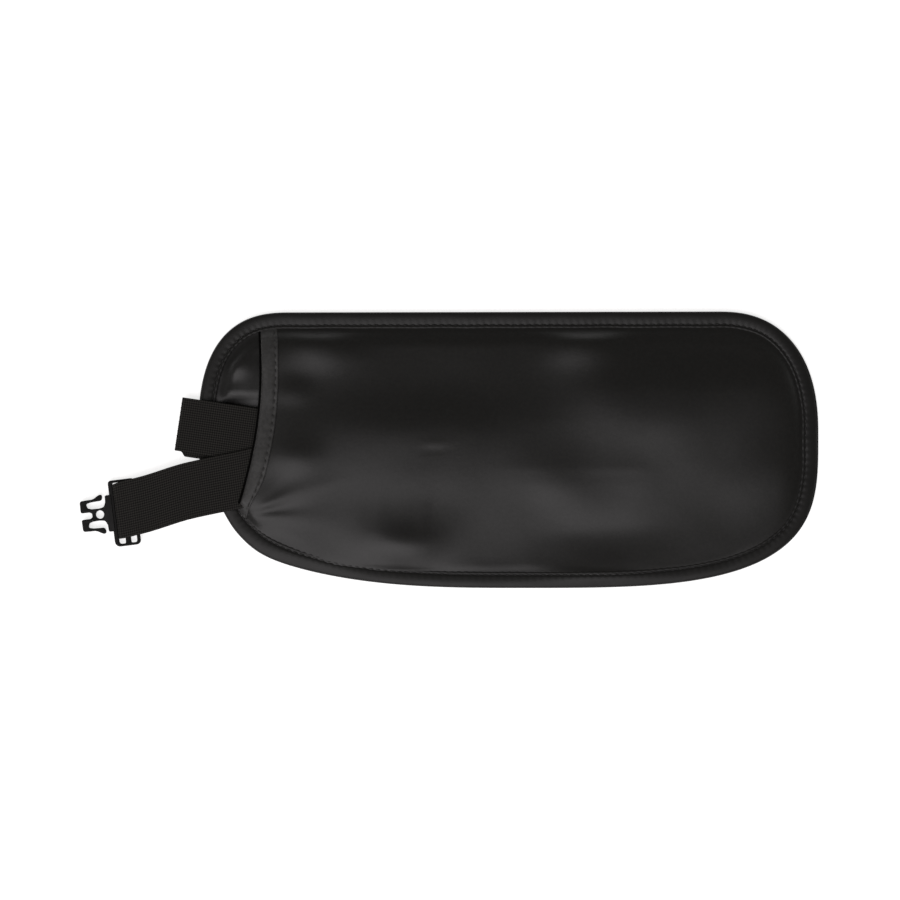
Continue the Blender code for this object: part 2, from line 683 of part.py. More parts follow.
def add_male_buckle(build, plastic, flex, bar_local):
    """Frame, core and arms, drawn with +X outward and the centre bar at the part's origin."""
    front = CENTRE_BAR / 2.0 + FRONT_SLOT + FRONT_BAR
    rear = front - FRAME_DEPTH
    half = FRAME_LENGTH / 2.0
    frame = box_mesh((rear, -half, FRAME_LOW), (front, half, FRAME_HIGH), bevel=FRAME_ROUND)
    buckle = build.add("male_buckle", frame, plastic, parent=flex)
    buckle.location = bar_local
    tall = (FRAME_LOW - MM, FRAME_HIGH + MM)
    inner = half - RAIL
    slots = (
        (CENTRE_BAR / 2.0, CENTRE_BAR / 2.0 + FRONT_SLOT),
        (-CENTRE_BAR / 2.0 - REAR_SLOT, -CENTRE_BAR / 2.0),
    )
    for low, high in slots:
        build.combine(buckle, box_mesh((low, -inner, tall[0]), (high, inner, tall[1])), "DIFFERENCE")
    hole = HOLE_FORWARD
    tab = box_mesh((front - 0.5 * MM, -TAB_HALF, PRONG_LOW), (TAB_FORWARD, TAB_HALF, PRONG_HIGH))
    core = box_mesh((hole - 3.5 * MM, -CORE_HALF, PRONG_LOW), (hole + POD_REAR, CORE_HALF, PRONG_HIGH))
    pods = box_mesh(
        (hole + POD_REAR - 0.6 * MM, -POD_OUTER, PRONG_LOW),
        (hole + POD_FRONT, POD_OUTER, PRONG_HIGH),
        bevel=POD_ROUND,
    )
    for mesh in (tab, core, pods):
        build.combine(buckle, mesh, "UNION")
    reach = hole + POD_FRONT
    notch = box_mesh((reach - NOTCH_DEPTH, -NOTCH_HALF, 0.0), (reach + MM, NOTCH_HALF, 5.0 * MM))
    build.combine(buckle, notch, "DIFFERENCE")
    eye = cylinder_mesh(HOLE_RADIUS, 0.0, 5.0 * MM, centre=(hole, 0.0))
    build.combine(buckle, eye, "DIFFERENCE")
    for label, side in (("upper", -1.0), ("lower", 1.0)):
        add_arm(build, plastic, flex, bar_local, label, side)


def add_arm(build, plastic, flex, bar_local, label, side):
    """A sprung arm: from its root at the pod it leans out and ends in a thicker catch."""
    mesh = prism_mesh([(x, side * y) for x, y in ARM_OUTLINE], PRONG_LOW, PRONG_HIGH)
    arm = build.add(f"male_buckle_arm_{label}", mesh, plastic, parent=flex)
    arm.location = bar_local + Vector((ARM_ROOT[0], side * ARM_ROOT[1], 0.0))


def add_short_side(build, elastic, plastic):
    """The short strap with the female buckle, tucked inside the stow pocket."""
    along = Vector((math.cos(SHORT_ANGLE), math.sin(SHORT_ANGLE), 0.0))
    across = Vector((-along.y, along.x, 0.0))
    level = SHORT_LOW + SHORT_THICK / 2.0
    bar = SHORT_LENGTH + BAR_BEYOND
    path = [
        (0.0, level),
        (SHORT_LENGTH - 3.0 * MM, level),
        (bar - 0.4 * MM, level + 0.05 * MM),
        (bar + 0.9 * MM, level + 0.35 * MM),
        (bar + 1.75 * MM, level + 1.2 * MM),
        (bar + 1.35 * MM, level + 2.1 * MM),
        (bar, level + 2.4 * MM),
        (bar - 1.3 * MM, level + 2.3 * MM),
        (bar - 2.6 * MM, level + 1.8 * MM),
        (bar - 4.4 * MM, level + 1.25 * MM),
        (SHORT_LENGTH - 6.0 * MM, level + 1.1 * MM),
        (SHORT_LENGTH - 12.0 * MM, level + 1.1 * MM),
    ]
    mesh = strap_mesh(
        ribbon_outline(path, SHORT_THICK), SHORT_WIDTH, SHORT_START, along, across
    )
    build.add("short_strap", mesh, elastic)
    half = SOCKET_WIDTH / 2.0
    low, high = SOCKET_LOW, SOCKET_HIGH
    start = bar - 0.7 * MM
    end = start + SOCKET_LENGTH
    body = box_mesh((start, -half, low), (end, half, high), bevel=SOCKET_ROUND)
    buckle = build.add("female_buckle", body, plastic)
    buckle.location = SHORT_START
    buckle.rotation_euler = (0.0, 0.0, SHORT_ANGLE)
    bar_end = start + SOCKET_BAR
    web = WEB_HALF
    floor, roof = low + SOCKET_WALL, high - SOCKET_WALL
    cutters = (
        ((bar_end, -web, low - MM), (bar_end + WEB_SLOT, web, high + MM)),
        ((start - MM, -web, low - MM), (bar_end + MM, web, low + WEB_UNDER)),
        ((start - MM, -web, high - WEB_OVER), (bar_end + MM, web, high + MM)),
        ((start + MOUTH_START, -MOUTH_HALF, floor), (end + MM, MOUTH_HALF, roof)),
        ((start + SIDE_START, -half - MM, floor), (start + SIDE_END, half + MM, roof)),
    )
    for corner_low, corner_high in cutters:
        helper = box_mesh(corner_low, corner_high)
        helper.transform(Matrix.Rotation(SHORT_ANGLE, 4, "Z"))
        build.combine(buckle, helper, "DIFFERENCE")


def shade_parts(collection):
    """Smooth shading with sharp edges kept, for the pieces that have rounded walls."""
    for obj in collection.objects:
        if obj.type == "MESH":
            obj.data.shade_smooth()
            obj.data.set_sharp_from_angle(angle=math.radians(35.0))


def main():
    clear_scene()
    build = Builder()
    satin = new_material("satin", (0.030, 0.029, 0.029), 0.45)
    lining = new_material("lining", (0.022, 0.022, 0.023), 0.7)
    tape = new_material("zip_tape", (0.018, 0.018, 0.019), 0.85)
    coil = new_material("zip_coil", (0.012, 0.012, 0.013), 0.4)
    metal = new_material("zip_slider", (0.05, 0.05, 0.052), 0.35, 0.8)
    elastic = new_material("elastic", (0.015, 0.014, 0.013), 0.9)
    plastic = new_material("buckle_plastic", (0.013, 0.012, 0.012), 0.35)
    binding = new_material("binding", (0.024, 0.023, 0.023), 0.5)

    add_panels(build, satin, lining)
    add_binding(build, binding)
    for name, y in (("upper_zip", UPPER_ZIP_Y), ("lower_zip", LOWER_ZIP_Y)):
        add_zip(build, name, y, (tape, coil, metal))

    flex_place = BAR_POINT - direction(RUN_ANGLE) * SPLIT_BACK
    flex_place.z = LOWEST_STRAP + 2 * LAYER + STRAP_THICK / 2.0
    flex = build.empty("strap_flex_axis", flex_place, math.pi + BAR_ANGLE)
    to_local = Matrix.Rotation(-flex.rotation_euler.z, 3, "Z")
    bar_local = to_local @ (BAR_POINT - flex_place) + Vector((0.0, BAR_OFFSET, 0.0))
    add_male_buckle(build, plastic, flex, bar_local)
    add_long_strap(build, elastic, flex)
    add_stowed_strap(build, elastic)
    add_short_side(build, elastic, plastic)
    shade_parts(build.parts)


main()
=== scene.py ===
"""A black satin money belt lying on its zip side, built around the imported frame."""

import math

import bmesh
import bpy
import numpy as np
from mathutils import Matrix, Vector


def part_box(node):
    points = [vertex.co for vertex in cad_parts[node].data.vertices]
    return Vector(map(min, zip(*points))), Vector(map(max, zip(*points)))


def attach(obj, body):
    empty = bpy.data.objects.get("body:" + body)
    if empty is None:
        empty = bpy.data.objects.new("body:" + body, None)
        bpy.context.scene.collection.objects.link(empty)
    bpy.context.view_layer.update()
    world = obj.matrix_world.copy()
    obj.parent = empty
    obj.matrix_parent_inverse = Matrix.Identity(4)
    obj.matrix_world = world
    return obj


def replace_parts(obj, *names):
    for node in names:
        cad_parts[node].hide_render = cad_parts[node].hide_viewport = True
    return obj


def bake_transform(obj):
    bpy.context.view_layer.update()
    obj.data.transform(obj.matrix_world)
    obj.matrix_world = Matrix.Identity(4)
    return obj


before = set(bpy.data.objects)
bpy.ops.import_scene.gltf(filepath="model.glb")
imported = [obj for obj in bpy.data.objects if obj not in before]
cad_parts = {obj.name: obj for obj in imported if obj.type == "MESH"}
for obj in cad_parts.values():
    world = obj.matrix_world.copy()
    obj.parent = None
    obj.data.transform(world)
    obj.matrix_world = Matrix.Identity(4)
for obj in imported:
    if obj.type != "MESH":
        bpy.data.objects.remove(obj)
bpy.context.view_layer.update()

MM = 0.001

# ---------------------------------------------------------------- shared sizes, mm

# The outline's four superellipse corners: centre x, reach along x, reach along y, power.
CORNER_Y = 7.0
TOP_RIGHT = (95.0, 45.0, 55.8, 2.36)
TOP_LEFT = (-100.0, 42.0, 55.4, 2.6)
BOTTOM_LEFT = (4.3, 146.3, 70.0, 2.85)
BOTTOM_RIGHT = (4.3, 135.7, 70.0, 3.42)
# Where the lower left-hand end leaves its superellipse: amount, centre y, reach.
SIDE_SHIFTS = ((3.9, -26.0, 13.0), (-2.6, -50.0, 7.0))
SIDE_FROM, SIDE_BY = -40.0, 50.0

BINDING_WIDTH, BINDING_STITCH = 7.5, 1.5  # the stitches run this far from its inner edge
STITCH_PITCH, STITCH_LENGTH, STITCH_RADIUS, UNDER_STITCH_RADIUS = 3.3, 2.35, 0.20, 0.17
RING_STEP = 0.55  # between the rings of the hem, the binding and the straps that are seen
CLOTH = 0.3
TUCK = 5.0  # how deep inside the outline the panels end, under the binding
PANEL_EDGE, COVER_EDGE, COVER_FREE = 8.8, 7.6, 7.7  # where the panels and the cover leave the binding
RIM_LEVEL, BACK_LEVEL, LINING_BELOW_BACK, COVER_LOWEST = 1.81, 1.36, 0.43, 1.75
ZIP_HUMP_FROM, ZIP_HUMP, ZIP_HUMP_ON_BACK = 21.8, 3.2, 3.05
MOUTH_X, MOUTH_Y, MOUTH_BEND = -112.2, 36.0, 0.002714
HEM_FROM, HEM_TO, HEM_STITCH_FROM, HEM_STITCH_TO = -29.8, 56.2, -24.0, 52.5
HEM_STITCH, HEM_STITCH_RISE = 5.7, 0.52
# The bead of painted shadow beside the hem's free edge: how far outside it, its half width and half height.
SHADOW_BEAD_OUT, SHADOW_BEAD_HALF_WIDTH, SHADOW_BEAD_HALF_HEIGHT = 0.7, 0.85, 0.42
STRETCH_ROUNDS, SOFTEN_ROUNDS = 600, 70

UPPER_ZIP_Y, LOWER_ZIP_Y = 43.0, 28.6
ZIP_TUCK, ZIP_STITCH, ZIP_HALF_GAP = 4.5, 6.0, 3.9
COIL_PITCH = 1.25
SLIDER_X, PULL_AXIS_Z = 103.0, 0.885

STRAP_WIDTH, STRAP_THICK, LAYER, LOWEST_STRAP = 25.4, 1.0, 1.15, 3.25
STRAP_RIBS = 23
RUN_ANGLE, BAR_ANGLE = math.radians(14.2), math.radians(7.1)
BAR_POINT = np.array([-175.25, -27.2, 0.0])
BAR_OFFSET = 0.9
BEND_FROM, BEND_TO, RUN_INSIDE = 22.5, 9.0, 127.0
LOOP_ANGLE, LOOP_LENGTH = math.radians(8.5), 70.0
LOOP_TIP = np.array([-150.9, 11.0, 0.0])
STOW_FOLD_X, STOW_LOWER_X, STOW_UPPER_X, STOW_Y = 60.0, -70.0, -42.0, 2.0
ANCHOR_X = 122.0
SHORT_START, SHORT_ANGLE = np.array([-117.0, -17.56, 0.0]), math.radians(-8.0)
SHORT_LENGTH, SHORT_WIDTH, SHORT_THICK, SHORT_LEVEL = 54.0, 24.0, 0.9, 2.17

# The male buckle, from its centre bar outward: the frame, the bars' slots, the prong's round hole.
FRAME_FRONT, FRAME_REAR, FRAME_UPPER, FRAME_LOWER = 6.25, -5.55, -14.7, 15.6
HOLE_X, HOLE_RADIUS, PRONG_TIP = 11.4, 1.9, 20.0
ARM_ROOT_X, ARM_Y, ARM_Z = 16.8, 6.2, 2.1
# The female buckle along the short strap: start, length, width, bottom and top.
SOCKET = (56.5, 24.0, 27.0, 1.75, 5.95)

# The stage, in metres, watts and the lens's millimetres.
CAMERA_PLACE, LENS, SENSOR = (-0.0275, -0.0002, 1.138), 100.0, 36.0
FLOOR_HALF, FLOOR_DROP, FLOOR_GLOW = 6.0, 0.0002, 0.72
WORLD_COLOUR, WORLD_STRENGTH = (1.0, 0.98, 0.93, 1.0), 0.16
# Area lights: name, place, size, power, colour.
LIGHTS = (
    ("softbox", (-0.44, -0.90, 1.45), (2.0, 1.45), 15.6, (1.0, 0.965, 0.985)),
    ("left_light", (-1.9, 0.2, 0.9), (1.0, 0.8), 0.4, (1.0, 1.0, 1.0)),
    ("top_fill", (-0.3, 1.6, 0.24), (2.2, 0.36), 0.7, (1.0, 1.0, 1.0)),
)

# Soft swells of the cover: height, centre x and y, reach along x, below and above, turn.
COVER_LUMPS = (
    (2.6, -42.0, 7.0, 54.0, 21.0, 15.0, 0.0),
    (0.7, -46.0, -13.0, 24.0, 11.0, 11.0, 0.0),
    (4.2, 86.0, 26.0, 42.0, 26.0, 15.0, 0.0),
    (1.2, 44.0, 24.0, 18.0, 22.0, 13.0, 0.0),
    (1.1, 77.0, 8.0, 16.0, 20.0, 16.0, 0.0),
    (-0.4, 24.0, 5.0, 13.0, 14.0, 12.0, -0.4),
    (0.7, 22.0, -17.0, 13.0, 9.0, 12.0, -0.3),
    (3.2, -88.0, 50.0, 19.0, 13.0, 8.0, -0.2),
    (3.6, 34.0, 50.0, 18.0, 13.0, 8.0, 0.0),
    (0.9, -98.0, 26.0, 9.0, 5.5, 5.5, 0.0),
    (1.9, -97.0, -4.0, 11.0, 8.5, 8.5, 0.25),
    (1.8, -50.0, -43.5, 14.0, 8.0, 8.0, -0.1),
    (-1.4, 41.0, -40.0, 24.0, 11.0, 9.0, 0.05),
    (1.0, 108.0, -12.0, 24.0, 24.0, 24.0, 0.3),
    (1.0, -111.0, 38.0, 12.0, 20.0, 20.0, 0.0),
)
# Where the cover lifts the binding's inner edge, a small crease in it, its pinch at the mouth's foot,
# and the folds of the back panel seen inside the mouth, in the same order.
RIM_SWELLS = (
    (1.4, 40.0, -57.0, 24.0, 12.0, 12.0, 0.0),
    (0.9, -90.0, -50.0, 24.0, 12.0, 12.0, 0.0),
)
CREASE = ((0.36, -34.4, 2.4, 5.0, 1.2, 1.2, 0.0), (-0.26, -34.0, 0.2, 6.0, 1.3, 1.3, 0.0))
PINCH_FOOT, PINCH_HEIGHT = (-121.0, -29.5), 1.5
BACK_FOLDS = ((0.9, -126.0, 37.5, 9.0, 4.6, 4.6, 0.15), (0.8, -122.0, 50.5, 9.0, 3.8, 3.8, -0.3))


# ---------------------------------------------------------------- helpers


def smoothstep(value):
    value = np.clip(value, 0.0, 1.0)
    return value * value * (3.0 - 2.0 * value)


def side_shift(x, y):
    """How far the lower left-hand end lies to the right of its superellipse."""
    shift = sum(amount * np.exp(-(((y - centre) / reach) ** 2)) for amount, centre, reach in SIDE_SHIFTS)
    return shift * smoothstep((SIDE_FROM - x) / SIDE_BY)


def edge_distance(x, y):
    """How far points lie inside the pouch's outline, measured towards the corner's centre."""
    x, y = np.asarray(x, float), np.asarray(y, float)
    x = x - side_shift(x, y)
    top = y >= CORNER_Y
    right = np.where(top, x > 0.0, x > BOTTOM_RIGHT[0])
    rows = [
        np.where(top, np.where(right, *upper), np.where(right, *lower))
        for upper, lower in zip(zip(TOP_RIGHT, TOP_LEFT), zip(BOTTOM_RIGHT, BOTTOM_LEFT))
    ]
    across = np.abs(x - rows[0])
    flat = (top & right & (x < rows[0])) | (top & ~right & (x > rows[0]))
    across = np.where(flat, 0.0, across)
    up = np.abs(y - CORNER_Y)
    share = ((across / rows[1]) ** rows[3] + (up / rows[2]) ** rows[3]) ** (1.0 / rows[3])
    share = np.maximum(share, 1e-6)
    return np.hypot(across, up) / share * (1.0 - share)


def length_along(points):
    """The length of the path from its start to each of its points."""
    return np.concatenate([[0.0], np.cumsum(np.linalg.norm(np.diff(points, axis=0), axis=1))])


def resampled(points, along, places):
    return np.stack([np.interp(places, along, points[:, k]) for k in range(2)], 1)


def outline(spacing):
    """The pouch's outline, anticlockwise, evenly spaced, with the inward normal at each point."""
    points = []
    for number, (corner, side, up) in enumerate(
        ((TOP_RIGHT, 1, 1), (TOP_LEFT, -1, 1), (BOTTOM_LEFT, -1, -1), (BOTTOM_RIGHT, 1, -1))
    ):
        turn = np.linspace(0.0, math.pi / 2.0, 400, endpoint=False)
        if number % 2:
            turn = math.pi / 2.0 - turn
        c, s = np.cos(turn), np.sin(turn)
        reach = ((c / corner[1]) ** corner[3] + (s / corner[2]) ** corner[3]) ** (-1.0 / corner[3])
        points.append(np.stack([corner[0] + side * reach * c, CORNER_Y + up * reach * s], 1))
    points = np.concatenate(points)
    points[:, 0] += side_shift(points[:, 0], points[:, 1])
    points = np.concatenate([points, points[:1]])
    along = length_along(points)
    count = int(round(along[-1] / spacing))
    places = np.arange(count) * along[-1] / count
    even = resampled(points, along, places)
    run = np.roll(even, -3, 0) - np.roll(even, 3, 0)
    run /= np.linalg.norm(run, axis=1, keepdims=True)
    return even, np.stack([-run[:, 1], run[:, 0]], 1), places


def mouth_x(y):
    """Where the mouth's free edge lies: a shallow bow across the pouch."""
    return MOUTH_X - MOUTH_BEND * (y - MOUTH_Y) ** 2


def waves(x, y, cells, seed):
    """Smooth wandering values from about -1 to 1, with lumps about cells mm across."""
    rng = np.random.default_rng(seed)
    total = np.zeros(np.broadcast(x, y).shape)
    for _ in range(9):
        turn, phase = rng.uniform(0, 2 * math.pi, 2)
        pitch = cells * rng.uniform(1.4, 3.2)
        total += np.sin((x * math.cos(turn) + y * math.sin(turn)) * 2 * math.pi / pitch + phase)
    return total / 4.5


def new_object(name, data):
    obj = bpy.data.objects.new(name, data)
    bpy.context.scene.collection.objects.link(obj)
    return obj


def clean(mesh, merge, sliver=None):
    """Merges doubled points, drops slivers and turns the faces outward."""
    work = bmesh.new()
    work.from_mesh(mesh)
    bmesh.ops.remove_doubles(work, verts=work.verts, dist=merge)
    if sliver:
        bmesh.ops.dissolve_degenerate(work, edges=work.edges, dist=sliver)
    bmesh.ops.recalc_face_normals(work, faces=work.faces)
    work.to_mesh(mesh)
    work.free()


def add_object(name, mesh, body, material, crease):
    """The mesh as a piece that moves with a body, shaded smooth up to the crease angle in degrees."""
    mesh.materials.clear()
    mesh.materials.append(material)
    mesh.shade_smooth()
    mesh.set_sharp_from_angle(angle=math.radians(crease))
    obj = new_object(name, mesh)
    if body:
        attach(obj, body)
    return obj


def mesh_object(name, points, faces, body, material, uv=None):
    """A mesh piece from points and flat coordinates in mm."""
    mesh = bpy.data.meshes.new(name)
    mesh.from_pydata([tuple(p) for p in np.asarray(points, float) * MM], [], [tuple(f) for f in faces])
    if uv is not None:
        layer = mesh.uv_layers.new(name="UVMap")
        index = np.empty(len(mesh.loops), np.int32)
        mesh.loops.foreach_get("vertex_index", index)
        layer.data.foreach_set("uv", np.asarray(uv, float)[index].ravel() / 10.0)
    clean(mesh, 2e-6, 1e-6)
    return add_object(name, mesh, body, material, 50.0)


# ---------------------------------------------------------------- materials


def set_inputs(node, **values):
    for key, value in values.items():
        node.inputs[key.replace("_", " ")].default_value = value


class Look:
    """A procedural material: shader settings, then mottling, fine relief and weave by nodes."""

    def __init__(self, name, colour, roughness, **settings):
        self.material = bpy.data.materials.new(name)
        self.material.use_nodes = True
        self.nodes = self.material.node_tree.nodes
        self.links = self.material.node_tree.links
        self.shader = self.nodes["Principled BSDF"]
        self.colour, self.height = colour, None
        set_inputs(self.shader, Base_Color=(*colour, 1.0), Roughness=roughness, **settings)

    def node(self, kind, **values):
        node = self.nodes.new(kind)
        set_inputs(node, **values)
        return node

    def place(self, kind):
        return self.node("ShaderNodeTexCoord").outputs[kind]

    def noise(self, scale, detail=3.0, place="Object", stretch=None):
        node = self.node("ShaderNodeTexNoise", Scale=scale, Detail=detail)
        source = self.place(place)
        if stretch:
            mapping = self.node("ShaderNodeMapping", Scale=stretch)
            self.links.new(source, mapping.inputs["Vector"])
            source = mapping.outputs["Vector"]
        self.links.new(source, node.inputs["Vector"])
        return node.outputs["Fac"]

    def wave(self, scale, axis, place="UV", distortion=0.0):
        node = self.node("ShaderNodeTexWave", Scale=scale, Distortion=distortion)
        node.bands_direction = axis
        self.links.new(self.place(place), node.inputs["Vector"])
        return node.outputs["Fac"]

    def mix(self, kind, a, b):
        node = self.node("ShaderNodeMath")
        node.operation = kind
        for socket, value in zip(node.inputs, (a, b)):
            if isinstance(value, (int, float)):
                socket.default_value = value
            else:
                self.links.new(value, socket)
        return node.outputs[0]

    def vary_colour(self, source, dark, light):
        ramp = self.node("ShaderNodeValToRGB")
        for element, gain, place in zip(ramp.color_ramp.elements, (dark, light), (0.3, 0.7)):
            element.position, element.color = place, (*(c * gain for c in self.colour), 1.0)
        self.links.new(source, ramp.inputs["Fac"])
        self.links.new(ramp.outputs["Color"], self.shader.inputs["Base Color"])

    def vary_roughness(self, source, low, high):
        node = self.node("ShaderNodeMapRange", To_Min=low, To_Max=high)
        self.links.new(source, node.inputs["Value"])
        self.links.new(node.outputs["Result"], self.shader.inputs["Roughness"])

    def relief(self, source, strength, distance):
        bump = self.node("ShaderNodeBump", Strength=strength, Distance=distance)
        self.links.new(source, bump.inputs["Height"])
        if self.height:
            self.links.new(self.height, bump.inputs["Normal"])
        self.height = bump.outputs["Normal"]
        self.links.new(self.height, self.shader.inputs["Normal"])


def satin_look(name, colour, roughness):
    look = Look(name, colour, roughness, Specular_IOR_Level=0.5, Sheen_Weight=0.05, Sheen_Roughness=0.4)
    look.vary_colour(look.noise(700.0, 5.0), 0.7, 1.3)
    look.vary_roughness(look.noise(60.0, 3.0), roughness - 0.03, roughness + 0.03)
    look.relief(look.noise(45.0, 3.0), 0.25, 0.0006)
    look.relief(look.noise(900.0, 3.0), 0.20, 0.0001)
    weave = look.mix("ADD", look.wave(8.0, "X"), look.mix("MULTIPLY", look.wave(11.0, "DIAGONAL"), 0.6))
    look.relief(weave, 0.05, 0.00005)
    return look.material


def elastic_look(name):
    look = Look(name, (0.0176, 0.0165, 0.0150), 0.8, Specular_IOR_Level=0.22, Sheen_Weight=0.04)
    # The ribs' wave darkens the colour in the valleys between the ribs: painted shade.
    ribs = look.wave(math.pi / 10.0, "Y")
    cross = look.wave(3.1, "X", distortion=0.4)
    grain = look.noise(26.0, 3.0, place="UV", stretch=(1.0, 0.3, 1.0))
    picks = look.mix("MULTIPLY", look.mix("MULTIPLY", cross, grain), 0.95)
    # The colour: the cross weave's own pattern plus painted shade in the rib valleys.
    weave_and_rib_shade = look.mix("ADD", look.mix("MULTIPLY", ribs, 0.5), picks)
    look.vary_colour(weave_and_rib_shade, 0.25, 2.1)
    look.relief(look.mix("MULTIPLY", cross, grain), 0.5, 0.00025)
    look.relief(look.noise(900.0, 3.0), 0.3, 0.0001)
    return look.material


def binding_look(name, colour, roughness):
    look = Look(name, colour, roughness, Specular_IOR_Level=0.38, Sheen_Weight=0.03, Sheen_Roughness=0.5)
    look.vary_colour(look.noise(180.0, 4.0), 0.88, 1.12)
    look.relief(look.wave(11.0, "DIAGONAL"), 0.10, 0.00006)
    look.relief(look.noise(500.0, 3.0), 0.2, 0.00008)
    look.vary_roughness(look.noise(80.0), roughness - 0.04, roughness + 0.06)
    return look.material


def thread_look(name):
    look = Look(name, (0.012, 0.0115, 0.011), 0.5, Sheen_Weight=0.1)
    look.vary_colour(look.noise(1500.0), 0.8, 1.2)
    look.relief(look.wave(300.0, "DIAGONAL", place="Object"), 0.5, 0.0001)
    return look.material


def tape_look(name):
    look = Look(name, (0.014, 0.014, 0.0145), 0.8, Sheen_Weight=0.1)
    look.vary_colour(look.noise(400.0), 0.85, 1.15)
    chevron = look.mix("MULTIPLY", look.wave(4.0, "DIAGONAL"), look.wave(2.0, "Y"))
    look.relief(chevron, 0.4, 0.00012)
    look.relief(look.noise(900.0), 0.2, 0.00006)
    return look.material


def noisy_look(name, colour, roughness, mottle, grain, uneven=None, **settings):
    """A moulded look: mottled colour, fine grain and, if given, uneven roughness, all from noise."""
    look = Look(name, colour, roughness, **settings)
    look.vary_colour(look.noise(*mottle[:2]), *mottle[2:])
    if uneven:
        look.vary_roughness(look.noise(*uneven[:2]), *uneven[2:])
    look.relief(look.noise(grain[0]), *grain[1:])
    return look.material


def lining_look(name):
    look = Look(name, (0.014, 0.014, 0.0145), 0.7, Sheen_Weight=0.05)
    look.vary_colour(look.noise(300.0), 0.9, 1.1)
    look.relief(look.wave(10.0, "X"), 0.1, 0.00005)
    return look.material


SATIN = satin_look("satin_cover", (0.0080, 0.0075, 0.0069), 0.37)
SATIN_BACK = satin_look("satin_back", (0.0104, 0.0099, 0.0098), 0.37)
SATIN_FRONT = satin_look("satin_front", (0.0080, 0.0076, 0.0076), 0.40)
# A near-black matte look for the bead of painted shadow under the hem's free edge.
PAINTED_HEM_SHADOW = Look("painted_hem_shadow", (0.0022, 0.0021, 0.0020), 0.9, Specular_IOR_Level=0.06).material
# The hem's satin: the cover's cloth made about five times as light, painted light standing in for the sheen
# the hem catches.
SATIN_HEM_PAINTED_LIGHT = satin_look("satin_hem_painted_light", (0.0410, 0.0400, 0.0392), 0.44)
ELASTIC = elastic_look("elastic_webbing")
BINDING = binding_look("binding_tape", (0.0105, 0.0101, 0.0096), 0.43)
THREAD = thread_look("stitch_thread")
PLASTIC = noisy_look(
    "moulded_plastic", (0.0058, 0.0055, 0.0052), 0.5, (300.0, 3.0, 0.9, 1.1), (2600.0, 0.12, 0.00006),
    (420.0, 5.0, 0.42, 0.56), Specular_IOR_Level=0.22,
)
TAPE = tape_look("zip_tape_weave")
NYLON = noisy_look(
    "zip_nylon", (0.010, 0.010, 0.0105), 0.38, (700.0, 3.0, 0.85, 1.15), (2500.0, 0.15, 0.00004)
)
METAL = noisy_look(
    "zip_dark_metal", (0.055, 0.054, 0.056), 0.32, (500.0, 5.0, 0.75, 1.3), (2200.0, 0.1, 0.00004),
    (900.0, 4.0, 0.26, 0.42), Metallic=0.9,
)
LINING = lining_look("lining_cloth")


# ---------------------------------------------------------------- camera, light, floor


def add_camera():
    data = bpy.data.cameras.new("camera")
    data.lens, data.sensor_width = LENS, SENSOR
    camera = new_object("camera", data)
    camera.location = CAMERA_PLACE
    bpy.context.scene.camera = camera


def add_light(name, place, size, power, colour):
    """An area light aimed at the frame's origin, unseen by the camera."""
    data = bpy.data.lights.new(name, "AREA")
    data.shape = "RECTANGLE"
    data.size, data.size_y = size
    data.energy, data.color = power, colour
    light = new_object(name, data)
    light.location = place
    light.visible_camera = False
    light.rotation_euler = (-Vector(place)).to_track_quat("-Z", "Y").to_euler()


def add_floor():
    work = bmesh.new()
    bmesh.ops.create_grid(work, x_segments=4, y_segments=4, size=FLOOR_HALF)
    bmesh.ops.translate(work, verts=work.verts, vec=(0.0, 0.0, -FLOOR_DROP))
    mesh = bpy.data.meshes.new("floor")
    work.to_mesh(mesh)
    work.free()
    look = Look(
        "floor_matte", (0.93, 0.93, 0.93), 0.9, Specular_IOR_Level=0.1,
        Emission_Color=(1.0, 1.0, 1.0, 1.0), Emission_Strength=FLOOR_GLOW,
    )
    look.relief(look.noise(3.0), 0.02, 0.001)
    mesh.materials.append(look.material)
    new_object("floor", mesh)


def add_stage():
    add_camera()
    add_floor()
    for light in LIGHTS:
        add_light(*light)
    world = bpy.data.worlds.new("studio")
    world.use_nodes = True
    set_inputs(world.node_tree.nodes["Background"], Color=WORLD_COLOUR, Strength=WORLD_STRENGTH)
    bpy.context.scene.world = world
    bpy.context.scene.view_settings.view_transform = "Standard"


# ---------------------------------------------------------------- panels


def grid_of(columns, rows, skew=None):
    x, y = np.meshgrid(columns, rows, indexing="ij")
    return (x + skew(y), y) if skew else (x, y)


def fit_to_outline(x, y, inset):
    """Moves the grid points that lie just outside the inset outline onto it. Returns what is kept."""
    inside = edge_distance(x, y) >= inset
    near = np.zeros_like(inside)
    padded = np.pad(inside, 1)
    for i in range(3):
        for j in range(3):
            near |= padded[i : i + inside.shape[0], j : j + inside.shape[1]]
    snap = near & ~inside
    x, y = x.copy(), y.copy()
    for _ in range(4):
        gap = edge_distance(x, y) - inset
        gx = (edge_distance(x + 0.05, y) - edge_distance(x - 0.05, y)) / 0.1
        gy = (edge_distance(x, y + 0.05) - edge_distance(x, y - 0.05)) / 0.1
        size = np.maximum(gx**2 + gy**2, 1e-6)
        x = np.where(snap, x - gap * gx / size, x)
        y = np.where(snap, y - gap * gy / size, y)
    return x, y, inside, snap


def corners(grid):
    """The four corners of each of the grid's cells, anticlockwise."""
    return np.stack([grid[:-1, :-1], grid[1:, :-1], grid[1:, 1:], grid[:-1, 1:]], -1)


def cells(inside, snap):
    """The grid cells whose corners are all kept and that have at least one corner inside."""
    return corners(inside | snap).all(-1) & corners(inside).any(-1)


